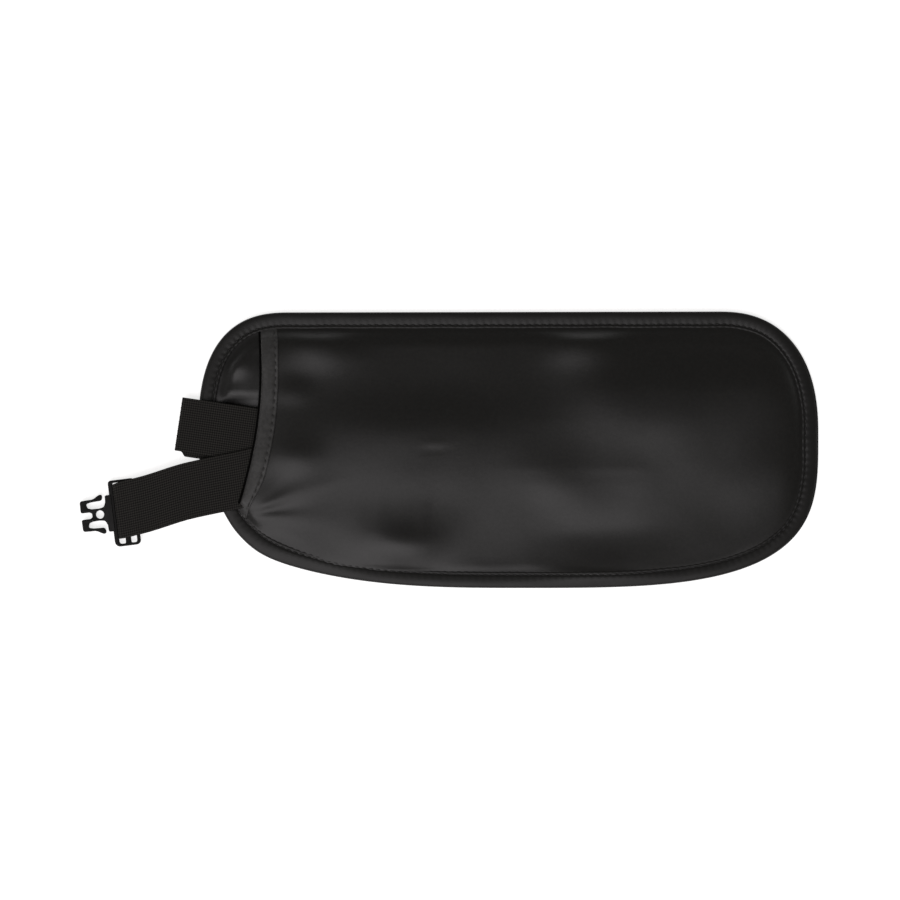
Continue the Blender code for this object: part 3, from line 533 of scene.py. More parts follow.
def closed_sheet(name, x, y, low, kept, material):
    """A closed sheet: the grid's kept cells at height low, copies of them above, and a rim."""
    count = x.size
    quads = corners(np.arange(count).reshape(x.shape))[kept]
    edges = np.concatenate([quads[:, [i, (i + 1) % 4]] for i in range(4)])
    key = np.sort(edges, axis=1)
    _, first, uses = np.unique(key[:, 0] * count + key[:, 1], return_index=True, return_counts=True)
    rim = edges[first[uses == 1]]
    faces = [tuple(q) for q in (quads + count)] + [tuple(q[::-1]) for q in quads]
    faces += [(a, b, b + count, a + count) for a, b in rim]
    flat = np.stack([x.ravel(), y.ravel()], 1)
    points = np.concatenate([np.column_stack([flat, level.ravel()]) for level in (low, low + CLOTH)])
    live = np.zeros(2 * count, bool)
    live[np.unique(quads)] = True
    live[np.unique(quads) + count] = True
    index = np.cumsum(live) - 1
    faces = [tuple(index[v] for v in f) for f in faces]
    uv = np.concatenate([flat, flat])[live]
    return mesh_object(name, points[live], faces, "pouch", material, uv=uv)


def add_panel(name, node, grid, level, material):
    """A panel that fills its grid within the outline, at the level worked out for its underside."""
    x, y, inside, snap = fit_to_outline(*grid, TUCK)
    low = level(x, y)
    piece = closed_sheet(name, x, y, low, cells(inside, snap), material)
    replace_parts(piece, node)
    return low


def soft_max(height, floor, blur=0.4):
    """The greater of the two, blended where they are close."""
    return floor + blur * np.logaddexp(0.0, (height - floor) / blur)


def neighbours(grid):
    """The sum of each point's four neighbours."""
    p = np.pad(grid, 1, mode="edge")
    return p[:-2, 1:-1] + p[2:, 1:-1] + p[1:-1, :-2] + p[1:-1, 2:]


def blurred(values, times):
    for _ in range(times):
        values = (neighbours(values) + 4.0 * values) / 8.0
    return values


def stretched(start, fixed, under, rounds):
    """A taut cloth over what lies under it: it spans the gaps and rests where it must."""
    height = np.where(fixed, start, np.maximum(start, under))
    for _ in range(rounds):
        height = np.where(fixed, start, np.maximum(neighbours(height) / 4.0, under))
    return height


def band(x, y, origin, angle, start, end, half):
    """Where points lie on a strap: inside a long rectangle from an origin at an angle."""
    c, s = math.cos(angle), math.sin(angle)
    along = (x - origin[0]) * c + (y - origin[1]) * s
    across = -(x - origin[0]) * s + (y - origin[1]) * c
    return (along > start) & (along < end) & (np.abs(across) < half)


def hump(y, inside):
    """How far the zips and their pockets raise what lies over them."""
    return ZIP_HUMP * smoothstep((y - ZIP_HUMP_FROM) / 2.6) * smoothstep(inside / 5.0)


def back_height(x, y):
    """The underside of the back panel, tucked a little under the cover along the mouth."""
    inside = edge_distance(x, y) - PANEL_EDGE
    soft = ZIP_HUMP_ON_BACK * smoothstep((y - 20.6) / 5.2) * smoothstep(inside / 6.0)
    tucked = 0.26 * np.exp(-(((x - mouth_x(y) + 0.5) / 5.0) ** 2))
    return BACK_LEVEL + soft * (1.0 - tucked)


def packed_below_cover(x, y, spread, rounds):
    """The height the cover must clear over the straps and buckle inside the pocket, spread out."""
    inside = edge_distance(x, y) - PANEL_EDGE
    top = COVER_LOWEST + hump(y, inside)
    half_strap = STRAP_WIDTH / 2.0
    # Each: origin, angle, start and end along it, half width, height to clear.
    packed = (
        (SHORT_START, SHORT_ANGLE, 0.0, SHORT_LENGTH + 4.0, 12.2, 2.75),
        ((0.0, STOW_Y), 0.0, STOW_LOWER_X, ANCHOR_X, half_strap, 3.85),
        ((0.0, STOW_Y), 0.0, STOW_LOWER_X, STOW_FOLD_X, half_strap, 5.05),
        ((0.0, STOW_Y), 0.0, STOW_UPPER_X, STOW_FOLD_X, half_strap, 6.2),
        (LOOP_TIP, -LOOP_ANGLE, 0.0, LOOP_LENGTH, half_strap, 5.05),
        (BAR_POINT, RUN_ANGLE, 0.0, RUN_INSIDE, 12.8, 6.2),
        (SHORT_START, SHORT_ANGLE, SOCKET[0], SOCKET[0] + SOCKET[1], SOCKET[2] / 2.0, 6.05),
    )
    for origin, angle, start, end, half, height in packed:
        over = band(x, y, origin, angle, start - spread, end + spread, half + spread)
        top = np.where(over, np.maximum(top, height), top)
    return blurred(top, rounds)


def lump(x, y, cx, cy, rx, below, above, turn=0.0):
    """A smooth swell, 1 high, that may reach further below its centre than above it."""
    c, s = math.cos(turn), math.sin(turn)
    u, v = (x - cx) * c + (y - cy) * s, -(x - cx) * s + (y - cy) * c
    return np.exp(-((u / rx) ** 2) - (v / np.where(v < 0.0, below, above)) ** 2)


def swells(x, y, rows):
    """The sum of a table's lumps, each row its height and then its shape."""
    return sum(height * lump(x, y, *shape) for height, *shape in rows)


def cover_folds(x, y):
    """Soft slack in the cover: broad lumps, the pinch at the mouth's foot and a small crease."""
    inside = edge_distance(x, y) - COVER_EDGE
    fade = smoothstep(inside / 6.0) * smoothstep((58.5 - y) / 9.0)
    slack = 0.16 * waves(x, y, 26.0, 5) + 0.07 * waves(x, y, 12.0, 8) + swells(x, y, COVER_LUMPS)
    dx, dy = x - PINCH_FOOT[0], y - PINCH_FOOT[1]
    reach, turn = np.hypot(dx, dy), np.arctan2(dy, dx)
    pinch = np.cos(turn * 15.0 + 0.6) * np.exp(-reach / 11.0) * smoothstep((reach - 1.5) / 4.0)
    pinch += 0.7 * np.cos(turn * 9.0 + 2.1) * np.exp(-reach / 16.0) * smoothstep((reach - 3.0) / 5.0)
    seam = 0.10 * np.sin(x / 7.5 + 1.3 * np.sin(x / 23.0)) * np.exp(-((inside - 4.0) / 5.0) ** 2)
    return fade * (slack + swells(x, y, CREASE)) + smoothstep(inside / 3.0) * (PINCH_HEIGHT * pinch + seam)


def cover_surface(x, y):
    """The underside of the cover over the whole grid."""
    edge = edge_distance(x, y)
    fixed = edge < COVER_FREE
    rim = RIM_LEVEL + swells(x, y, RIM_SWELLS) * smoothstep((edge - 3.5) / 3.5)
    height = stretched(rim, fixed, packed_below_cover(x, y, 8.0, 26), STRETCH_ROUNDS)
    height = blurred(height, SOFTEN_ROUNDS)
    smooth = soft_max(height + cover_folds(x, y), packed_below_cover(x, y, 1.0, 2))
    smooth = blurred(smooth, 5)
    mix = smoothstep((edge - 7.0) / 3.5)
    return rim + (smooth - rim) * mix


def add_cover():
    step = 1.2
    columns = np.arange(0.0, 262.0, step)
    rows = np.arange(-62.4, 64.0, step)
    low = add_panel(
        "cover", "cover_panel", grid_of(columns, rows, mouth_x), cover_surface,
        SATIN,
    )
    return columns, rows, low


def sample(columns, rows, grid, x, y):
    """The cover grid's height at a point, read between its points."""
    s = np.clip((x - mouth_x(y) - columns[0]) / (columns[1] - columns[0]), 0, len(columns) - 1.001)
    t = np.clip((y - rows[0]) / (rows[1] - rows[0]), 0, len(rows) - 1.001)
    i, j = s.astype(int), t.astype(int)
    u, v = s - i, t - j
    weights = ((0, 0, 1 - u, 1 - v), (1, 0, u, 1 - v), (0, 1, 1 - u, v), (1, 1, u, v))
    return sum(grid[i + a, j + b] * across * up for a, b, across, up in weights)


def skin(start, count, size, closed=False):
    """Faces over count rings of size points each, numbered from start: closed round, or capped."""
    faces = []
    for i in range(count if closed else count - 1):
        a, b = start + i * size, start + (i + 1) % count * size
        faces += [(a + k, a + (k + 1) % size, b + (k + 1) % size, b + k) for k in range(size)]
    if not closed:
        last = start + (count - 1) * size
        faces += [tuple(range(start, start + size))[::-1], tuple(range(last, last + size))]
    return faces


def loft(name, rings, body, material, uv=None, closed=False):
    """A skin over a row of closed rings with the same number of points."""
    rings = np.asarray(rings, float)
    faces = skin(0, *rings.shape[:2], closed)
    return mesh_object(name, rings.reshape(-1, 3), faces, body, material, uv=uv)


def mouth_way(y):
    """The unit direction, in plan, from the mouth's edge into the cover."""
    slope = -2.0 * MOUTH_BEND * (y - MOUTH_Y)
    return np.array([1.0, -slope]) / math.hypot(1.0, slope)


def hem_taper(y):
    """The hem narrows towards the mouth's foot."""
    return 1.0 - 0.42 * float(smoothstep((-9.0 - y) / 19.0))


def free_of_rim(x, y):
    """From 0 where the binding presses the hem flat to 1 in the open mouth."""
    return float(smoothstep((float(edge_distance(x, y)) - 6.4) / 3.0))


def add_hem(columns, rows, cover):
    """The folded band along the mouth, its free edge rolled, its other edge stitched down."""
    section = [
        (0.8, -0.55), (0.1, -0.50), (-0.35, -0.30), (-0.55, 0.05), (-0.45, 0.42), (0.0, 0.72), (0.8, 0.86),
        (2.2, 0.84), (3.8, 0.80), (4.9, 0.76), (5.4, 0.66), (5.7, 0.56), (6.0, 0.66), (6.5, 0.74),
        (6.95, 0.66), (7.15, 0.48), (7.2, 0.24), (6.4, 0.24), (4.0, 0.24), (2.0, 0.24), (1.0, -0.02),
    ]
    cover_top = lambda px, py: float(sample(columns, rows, cover, np.array([px]), np.array([py]))[0]) + CLOTH
    places = np.arange(HEM_FROM, HEM_TO, RING_STEP)
    rings, uv = [], []
    for y in places:
        ring = []
        taper, normal = hem_taper(y), mouth_way(y)
        pucker = 0.5 + 0.5 * math.cos(2 * math.pi * y / STITCH_PITCH)
        for s, h in section:
            px, py = np.array([mouth_x(y), y]) + s * taper * normal
            lift = h
            if 5.0 < s < 6.8 and h > 0.5:
                lift -= 0.10 * pucker
            if 1.0 < s < 5.0 and h > 0.5:
                lift += 0.08 * math.sin(y / 5.3 + 0.6 * s) + 0.05 * math.sin(y / 2.1 - s)
            free = free_of_rim(px, py)
            lift = lift * (0.25 + 0.75 * free)
            ring.append((px, py, min(cover_top(px, py) + lift, 2.15 + 8.0 * free)))
            uv.append((px, py))
        rings.append(ring)
    # The band's lighter satin is painted light.
    piece = loft("mouth_hem_band", rings, "pouch", SATIN_HEM_PAINTED_LIGHT, uv=uv)
    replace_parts(piece, "mouth_hem")
    # A dark bead just outside the hem's free edge: painted shadow standing in for the shade in the gap below
    # the hem.
    turn = np.linspace(0.0, 2.0 * math.pi, 12, endpoint=False)
    rings = []
    for y in places:
        px, py = float(mouth_x(y)) - SHADOW_BEAD_OUT, float(y)
        free = free_of_rim(px, py)
        middle = min(cover_top(px, py) - 0.25 * free, 2.0 + 8.0 * free)
        tall = SHADOW_BEAD_HALF_HEIGHT * (0.3 + 0.7 * free)
        rings.append([(px + SHADOW_BEAD_HALF_WIDTH * math.cos(t), py, middle + tall * math.sin(t)) for t in turn])
    loft("mouth_painted_shadow", rings, "pouch", PAINTED_HEM_SHADOW)
    line = []
    for y in np.arange(HEM_STITCH_FROM, HEM_STITCH_TO, STITCH_PITCH):
        normal = mouth_way(y)
        px, py = np.array([mouth_x(y), y]) + HEM_STITCH * hem_taper(y) * normal
        line.append(((px, py, cover_top(px, py) + HEM_STITCH_RISE), (-normal[1], normal[0])))
    add_stitches("hem_stitches", line, 1.0)


def add_stitches(name, line, up, radius=STITCH_RADIUS):
    """Short threads, each a rounded capsule whose ends dive into the cloth."""
    half = ((0.5, 0.25, -0.30), (0.40, 0.8, -0.05), (0.2, 1.0, 0.05))
    stations = [(-at, wide, rise) for at, wide, rise in half] + list(half[::-1])
    points, faces = [], []
    for place, run in line:
        run = np.array([run[0], run[1], 0.0])
        run /= np.linalg.norm(run)
        side = np.array([-run[1], run[0], 0.0])
        start = len(points)
        for at, wide, rise in stations:
            centre = np.array(place) + run * at * STITCH_LENGTH + np.array([0.0, 0.0, rise * up])
            for k in range(6):
                turn = math.pi / 3.0 * k
                offset = side * math.cos(turn) + np.array([0.0, 0.0, math.sin(turn)])
                points.append(centre + offset * radius * wide)
        faces += skin(start, len(stations), 6)
    return mesh_object(name, points, faces, "pouch", THREAD)


def binding_spread(edge):
    """How much wider the tape lies at the lower left-hand end."""
    return 1.0 + 0.17 * np.exp(-(((edge[:, 0] + 112.0) / 26.0) ** 2) - (((edge[:, 1] + 46.0) / 16.0) ** 2))


def rise_of_binding(point, normal, depth):
    """How much the tape's upper side stands up at a depth: its outer half is high at the top edge."""
    at_top, at_bottom, at_right = (max(0.0, way) ** 2 for way in (-normal[1], normal[1], -normal[0]))
    lean = 0.16 * at_top + 0.04 * at_bottom - 0.10 * at_right
    swell = float(swells(point[0], point[1], RIM_SWELLS))
    return lean * max(0.0, 5.5 - depth) + swell * float(smoothstep((depth - 1.0) / 4.5))


def add_binding():
    edge, normal, along = outline(RING_STEP)
    w = BINDING_WIDTH
    section = [
        (w - 0.15, 2.14), (w, 2.28), (w - 0.15, 2.44), (w - 0.7, 2.54), (w - 1.1, 2.42), (w - 1.5, 2.22),
        (w - 1.9, 2.46), (w - 2.6, 2.58), (w - 3.8, 2.60), (2.6, 2.52), (1.5, 2.34), (0.7, 2.02), (0.2, 1.62),
        (0.02, 1.25), (0.2, 0.80), (0.7, 0.38), (1.5, 0.12), (2.6, 0.03), (w - 3.8, 0.0), (w - 2.6, 0.02),
        (w - 1.9, 0.10), (w - 1.5, 0.22), (w - 1.1, 0.12), (w - 0.7, 0.05), (w - 0.15, 0.12), (w, 0.24),
        (w - 0.15, 0.38), (w - 1.5, 0.42), (w - 3.8, 0.36), (2.4, 0.40), (1.3, 0.62), (0.75, 1.25),
        (1.3, 1.90), (2.4, 2.16), (w - 3.8, 2.24), (w - 1.5, 2.12),
    ]
    spread = binding_spread(edge)
    wander = waves(along, 0 * along, 9.0, 3)
    rings, uv = [], []
    for i in range(len(edge)):
        pull = 0.5 + 0.5 * math.cos(2 * math.pi * along[i] / STITCH_PITCH)
        ring = []
        for d, z in section:
            share = d / w
            depth = d * spread[i] + share * (0.12 * wander[i] - 0.11 * pull)
            puff = math.sin(math.pi * min(share, 1.0)) * (0.10 * wander[i])
            dip = 0.12 * pull if d > w - 2.7 else 0.0
            if z > 1.3:
                height = z + puff - dip + rise_of_binding(edge[i], normal[i], d)
            else:
                height = max(z + (dip if z < 0.3 else 0.0), 0.0)
            place = edge[i] + normal[i] * depth
            ring.append((place[0], place[1], height))
            uv.append((along[i], d))
        rings.append(ring)
    piece = loft("binding_tape_edge", rings, "pouch", BINDING, uv=uv, closed=True)
    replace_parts(piece, "edge_binding")
    edge, normal, along = outline(STITCH_PITCH)
    depth = (w - BINDING_STITCH) * binding_spread(edge)
    run = np.stack([normal[:, 1], -normal[:, 0]], 1)
    places = edge + normal * depth[:, None]
    raised = [rise_of_binding(*row) for row in zip(edge, normal, depth)]
    tops = [((p[0], p[1], 2.40 + up), r) for p, up, r in zip(places, raised, run)]
    add_stitches("binding_stitches_top", tops, 1.0)
    unders = [((p[0], p[1], 0.22), r) for p, r in zip(places, run)]
    add_stitches("binding_stitches_under", unders, -1.0, radius=UNDER_STITCH_RADIUS)


def back_surface(x, y):
    """The underside of the back panel with the folds seen inside the mouth."""
    edge = edge_distance(x, y)
    low = blurred(back_height(x, y), 1)
    seen = smoothstep((-104.0 - x) / 8.0) * smoothstep((edge - 8.2) / 6.0) * smoothstep((y - 17.0) / 5.0)
    folds = swells(x, y, BACK_FOLDS)
    folds += 0.40 * np.cos((y - 0.35 * x) / 2.2) * lump(x, y, -131.0, 29.0, 7.0, 8.0, 8.0)
    return low + seen * (1.25 * folds + 0.15 * waves(x, y, 8.0, 12))


def lining_surface(x, y):
    return back_height(x, y) - LINING_BELOW_BACK


def add_back_and_lining():
    step = 1.6
    grid = grid_of(np.arange(-142.0, 142.0, step), np.arange(-62.0, 64.0, step))
    add_panel("back", "back_panel", grid, back_surface, SATIN_BACK)
    step = 3.0
    grid = grid_of(np.arange(-141.0, 142.0, step), np.arange(-63.0, 64.0, step))
    add_panel(
        "lining", "divider_lining", grid, lining_surface, LINING
    )


def front_height(x, y):
    """The front panels: up to the binding round the rim, up to the tapes beside the zips."""
    inside = edge_distance(x, y) - PANEL_EDGE
    height = 0.49 * (1.0 - smoothstep(inside / 3.0))
    for zip_y in (UPPER_ZIP_Y, LOWER_ZIP_Y):
        past = np.abs(y - zip_y) - 3.8
        lip = 2.0 * smoothstep(1.0 - past / 2.6)
        height = np.maximum(height, lip * smoothstep((inside - 7.0) / 5.0))
    return height


def front_surface(x, y):
    """The underside of the front panels: slack below the zips, tighter between and above them."""
    inner = smoothstep((edge_distance(x, y) - 9.5) / 12.0)
    slack = np.where(y < LOWER_ZIP_Y, 0.28, 0.11)
    return front_height(x, y) + slack * (1.0 + waves(x, y, 22.0, 31)) * inner


def add_zip_stitches():
    """One row of stitches on the front panels along each side of each zip."""
    line = []
    for zip_y in (UPPER_ZIP_Y, LOWER_ZIP_Y):
        for y in (zip_y - ZIP_STITCH, zip_y + ZIP_STITCH):
            x = np.arange(-130.0, 130.0, STITCH_PITCH)
            x = x[edge_distance(x, y) > 11.0]
            levels = front_surface(x, np.full_like(x, y)) - 0.03
            line += [((px, y, z), (1.0, 0.0)) for px, z in zip(x, levels)]
    add_stitches("zip_stitches", line, -1.0, radius=UNDER_STITCH_RADIUS)


def add_front():
    step, gap = 1.6, ZIP_HALF_GAP
    spans = (
        ("front_top", "front_top_panel", UPPER_ZIP_Y + gap, 63.0, (0.20, 0.016)),
        ("front_middle", "front_middle_panel", LOWER_ZIP_Y + gap, UPPER_ZIP_Y - gap, (0.262, 0.011)),
        ("front_lower", "front_lower_panel", -63.0, LOWER_ZIP_Y - gap, (0.272, 0.085)),
    )
    for name, node, low_y, high_y, flat in spans:
        narrow = high_y - low_y < 20.0
        rows = np.linspace(low_y, high_y, 14 if narrow else int((high_y - low_y) / step) + 1)
        x, y = grid_of(np.arange(-142.0, 142.0, step), rows)
        x, y, inside, snap = fit_to_outline(x, y, TUCK)
        y = np.clip(y, low_y, high_y)
        low = front_surface(x, y)
        piece = closed_sheet(name, x, y, low, cells(inside, snap), SATIN_FRONT)
        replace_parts(piece, node)


# ---------------------------------------------------------------- straps


def smooth_path(points, spacing):
    """The path with its corners softened, sampled about every spacing mm and closer where it turns."""
    points = np.asarray(points, float)
    lengths = length_along(points)
    fine = np.arange(0.0, lengths[-1], 0.1)
    line = resampled(points, lengths, fine)
    reach = np.arange(-12, 13)
    kernel = np.exp(-((reach / 4.5) ** 2))
    kernel /= kernel.sum()
    ends = np.concatenate([2 * line[:1] - line[12:0:-1], line, 2 * line[-1:] - line[-2:-14:-1]])
    line = np.stack([np.convolve(ends[:, k], kernel, "valid") for k in range(2)], 1)
    run = np.gradient(line, axis=0)
    turn = np.abs(np.gradient(np.unwrap(np.arctan2(run[:, 1], run[:, 0]))))
    effort = np.cumsum(0.1 / spacing + turn / math.radians(10.0))
    count = max(2, int(round(effort[-1])))
    steps = np.linspace(effort[0], effort[-1], count + 1)
    places = np.interp(steps, effort, fine)
    return resampled(line, effort, steps), places


def strap_piece(
    name, path, width, origin, along, across, body,
    thick=STRAP_THICK, drift=None, squeeze=None, spacing=RING_STEP,
):
    """Woven elastic along a side path: lengthwise ribs with a cross weave, on both faces."""
    line, places = smooth_path(path, spacing)
    pitch = width / STRAP_RIBS
    grid = []
    for r in range(STRAP_RIBS):
        for k, rise in enumerate((0.0, 0.085, 0.105, 0.085)):
            grid.append(((r + k / 4.0) * pitch - width / 2.0, rise, r))
    grid.append((width / 2.0, 0.0, STRAP_RIBS))
    offset, rise, rib = (np.array(column) for column in zip(*grid))
    selvedge = smoothstep((np.abs(offset) - width / 2.0 + 1.5) / 0.5)
    rise = np.where(np.abs(offset) > width / 2.0 - 1.3, 0.09, rise)
    rise -= 0.20 * smoothstep((np.abs(offset) - width / 2.0 + 0.35) / 0.35)
    run = np.gradient(line, places, axis=0)
    run /= np.linalg.norm(run, axis=1, keepdims=True)
    side = np.stack([-run[:, 1], run[:, 0]], 1)
    shift = drift(line[:, 0], places) if drift is not None else np.zeros(len(line))
    rings, uv = [], []
    for i in range(len(line)):
        over = np.where((rib + int(places[i] / 0.9)) % 2 == 0, 1.0, -1.0)
        weave = 0.03 * over * (1.0 - selvedge) * (rise > 0.05)
        half = thick / 2.0 - 0.10 + rise + weave
        ring = []
        narrow = squeeze(places[i]) if squeeze is not None else 1.0
        for direction, order in ((1.0, range(len(offset))), (-1.0, range(len(offset) - 1, -1, -1))):
            for k in order:
                point = line[i] + side[i] * half[k] * direction
                centre = origin + along * point[0] + across * (offset[k] * narrow + shift[i])
                ring.append((centre[0], centre[1], point[1]))
                uv.append((places[i], (offset[k] + width / 2.0) / pitch * 10.0))
        rings.append(ring)
    return loft(name, rings, body, ELASTIC, uv=uv)


def heading(angle):
    """The unit direction that points left, turned by an angle."""
    return np.array([-math.cos(angle), -math.sin(angle), 0.0])


def across_of(along):
    """The unit direction across a strap that runs along another."""
    return np.array([along[1], -along[0], 0.0])


def fold_path(tip, low_length, high_length, low_z):
    """The side path of a strap folded over on itself, its bend at the tip."""
    high_z = low_z + LAYER
    middle, radius = (low_z + high_z) / 2.0, LAYER / 2.0
    bend = [
        (tip - radius + radius * math.sin(math.radians(a)), middle - radius * math.cos(math.radians(a)))
        for a in (0, 30, 60, 90, 120, 150, 180)
    ]
    return [(tip - low_length, low_z), (tip - low_length / 2, low_z)] + bend + [
        (tip - high_length / 2, high_z), (tip - high_length, high_z)
    ]


def add_straps():
    along = heading(RUN_ANGLE)
    bars = across_of(heading(BAR_ANGLE))
    width = STRAP_WIDTH / math.cos(RUN_ANGLE - BAR_ANGLE)
    top = LOWEST_STRAP + 2 * LAYER
    path = [
        (-21.0, 4.15), (-14.0, 3.9), (-8.0, 3.7), (-4.7, 3.66), (-3.4, 3.42), (-2.6, 2.3), (-2.0, 1.2),
        (-1.2, 0.62), (0.0, 0.6), (1.6, 0.66), (2.8, 1.2), (3.78, 2.2), (3.74, 3.1), (2.8, 3.85), (1.0, 4.15),
        (-0.6, 4.2), (-2.5, 4.4), (-4.7, 4.88), (-8.0, 5.0), (-15.0, 5.2), (-23.0, top), (-45.0, top),
        (-80.0, top), (-RUN_INSIDE, top),
    ]
    squeeze = lambda place: 1.0 - 0.04 * smoothstep(1.5 - abs(place - BEND_FROM) / 6.0)
    bow = lambda reach, places: 1.1 * smoothstep((reach + 62.0) / 34.0) * smoothstep((-reach - 8.0) / 22.0)
    piece = strap_piece("strap_outer", path, width, BAR_POINT, along, bars, None, drift=bow, squeeze=squeeze)
    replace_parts(piece, "strap_outer_run", "strap_buckle_end")
    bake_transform(piece)
    along = heading(-LOOP_ANGLE)
    across = across_of(along)
    path = fold_path(-0.5, LOOP_LENGTH, LOOP_LENGTH, LOWEST_STRAP)
    slip = lambda s, places: 0.7 - 2.1 * (1.0 - smoothstep((places - LOOP_LENGTH + 4.8) / 2.4))
    piece = strap_piece(
        "strap_loop_fold", path, STRAP_WIDTH - 1.0, LOOP_TIP, along, across, "strap_loop", drift=slip
    )
    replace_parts(piece, "strap_folded_loop")
    right, up = np.array([1.0, 0.0, 0.0]), np.array([0.0, 1.0, 0.0])
    lower, upper = STOW_FOLD_X - STOW_LOWER_X, STOW_FOLD_X - STOW_UPPER_X
    stow = np.array([0.0, STOW_Y, 0.0])
    stowed = fold_path(STOW_FOLD_X, lower, upper, LOWEST_STRAP + LAYER)
    anchor = [(x, LOWEST_STRAP) for x in (STOW_LOWER_X, 0.0, ANCHOR_X)]
    for name, node, path, length, held in (
        ("strap_stowed", "strap_stowed_fold", stowed, 0.232, "folded"),
        ("strap_anchor", "strap_anchor_run", anchor, 0.192, "stretched"),
    ):
        piece = strap_piece(name, path, STRAP_WIDTH, stow, right, up, "pouch", spacing=2.0)
        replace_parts(piece, node)
    bar, level = SHORT_LENGTH + 3.2, SHORT_LEVEL
    path = [
        (0.0, level), (20.0, level), (SHORT_LENGTH - 3.0, level), (bar - 0.4, level + 0.05),
        (bar + 0.9, level + 0.35), (bar + 1.75, level + 1.2), (bar + 1.35, level + 2.1),
        (bar, level + 2.4), (bar - 1.3, level + 2.3), (bar - 2.6, level + 1.8), (bar - 4.4, level + 1.25),
        (SHORT_LENGTH - 6.0, level + 1.1), (SHORT_LENGTH - 12.0, level + 1.1),
    ]
    along = np.array([math.cos(SHORT_ANGLE), math.sin(SHORT_ANGLE), 0.0])
    across = np.array([-along[1], along[0], 0.0])
    piece = strap_piece(
        "strap_short", path, SHORT_WIDTH, SHORT_START, along, across, "pouch", SHORT_THICK, spacing=1.0
    )
    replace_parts(piece, "short_strap")


# ---------------------------------------------------------------- buckles and zips


def rounded(points, radii, steps=5):
    """A closed outline whose corners are rounded, each by its own radius."""
    points = [Vector(p) for p in points]
    if isinstance(radii, (int, float)):
        radii = [radii] * len(points)
    result = []
    for i, corner in enumerate(points):
        before, after = (points[i - 1] - corner), (points[(i + 1) % len(points)] - corner)
        u, v = before.normalized(), after.normalized()
        angle = u.angle(v)
        cut = radii[i] / math.tan(angle / 2.0) if angle > 1e-3 else 0.0
        cut = min(cut, before.length * 0.49, after.length * 0.49)
        if cut < 1e-4 or angle > math.pi - 1e-3:
            result.append(corner)
            continue
        radius = cut * math.tan(angle / 2.0)
        centre = corner + (u + v).normalized() * (radius / math.sin(angle / 2.0))
        first, last = corner + u * cut - centre, corner + v * cut - centre
        sweep = first.angle_signed(last)
        for k in range(steps + 1):
            result.append(centre + Matrix.Rotation(-sweep * k / steps, 2) @ first)
    return result


def moulded(name, outlines, low, high, bevel, place, body, material=PLASTIC):
    """A moulded piece: outlines with holes, extruded, with rounded edges, placed in the frame."""
    curve = bpy.data.curves.new(name, "CURVE")
    curve.dimensions = "2D"
    curve.fill_mode = "BOTH"
    curve.extrude = ((high - low) / 2.0 - bevel) * MM
    curve.bevel_depth = bevel * MM
    curve.bevel_resolution = 2
    curve.offset = -bevel * MM
    for points in outlines:
        spline = curve.splines.new("POLY")
        spline.points.add(len(points) - 1)
        for point, spot in zip(spline.points, points):
            point.co = (spot[0] * MM, spot[1] * MM, 0.0, 1.0)
        spline.use_cyclic_u = True
    holder = new_object(name, curve)
    bpy.context.view_layer.update()
    mesh = bpy.data.meshes.new_from_object(holder.evaluated_get(bpy.context.evaluated_depsgraph_get()))
    bpy.data.objects.remove(holder, do_unlink=True)
    bpy.data.curves.remove(curve)
    mesh.transform(place @ Matrix.Translation((0.0, 0.0, (low + high) / 2.0 * MM)))
    clean(mesh, 1e-6)
    return add_object(name, mesh, body, material, 40.0)


def circle(x, y, radius, steps=28):
    turns = [2 * math.pi * k / steps for k in range(steps)]
    return [Vector((x + radius * math.cos(turn), y + radius * math.sin(turn))) for turn in turns]


def box_outline(x0, x1, y0, y1):
    return [(x0, y0), (x1, y0), (x1, y1), (x0, y1)]


def mirrored(points):
    """The outline's other half, in reverse order, on the far side of the long axis."""
    return [(x, -y) for x, y in points[::-1]]


def buckle_place():
    """From the buckle's own axes, +X outward from its centre bar, to the frame's."""
    outward = heading(BAR_ANGLE)
    centre = Vector(BAR_POINT * MM)
    turn = Matrix.Rotation(math.atan2(outward[1], outward[0]), 4, "Z")
    return Matrix.Translation(centre) @ turn @ Matrix.Translation((0.0, BAR_OFFSET * MM, 0.0))


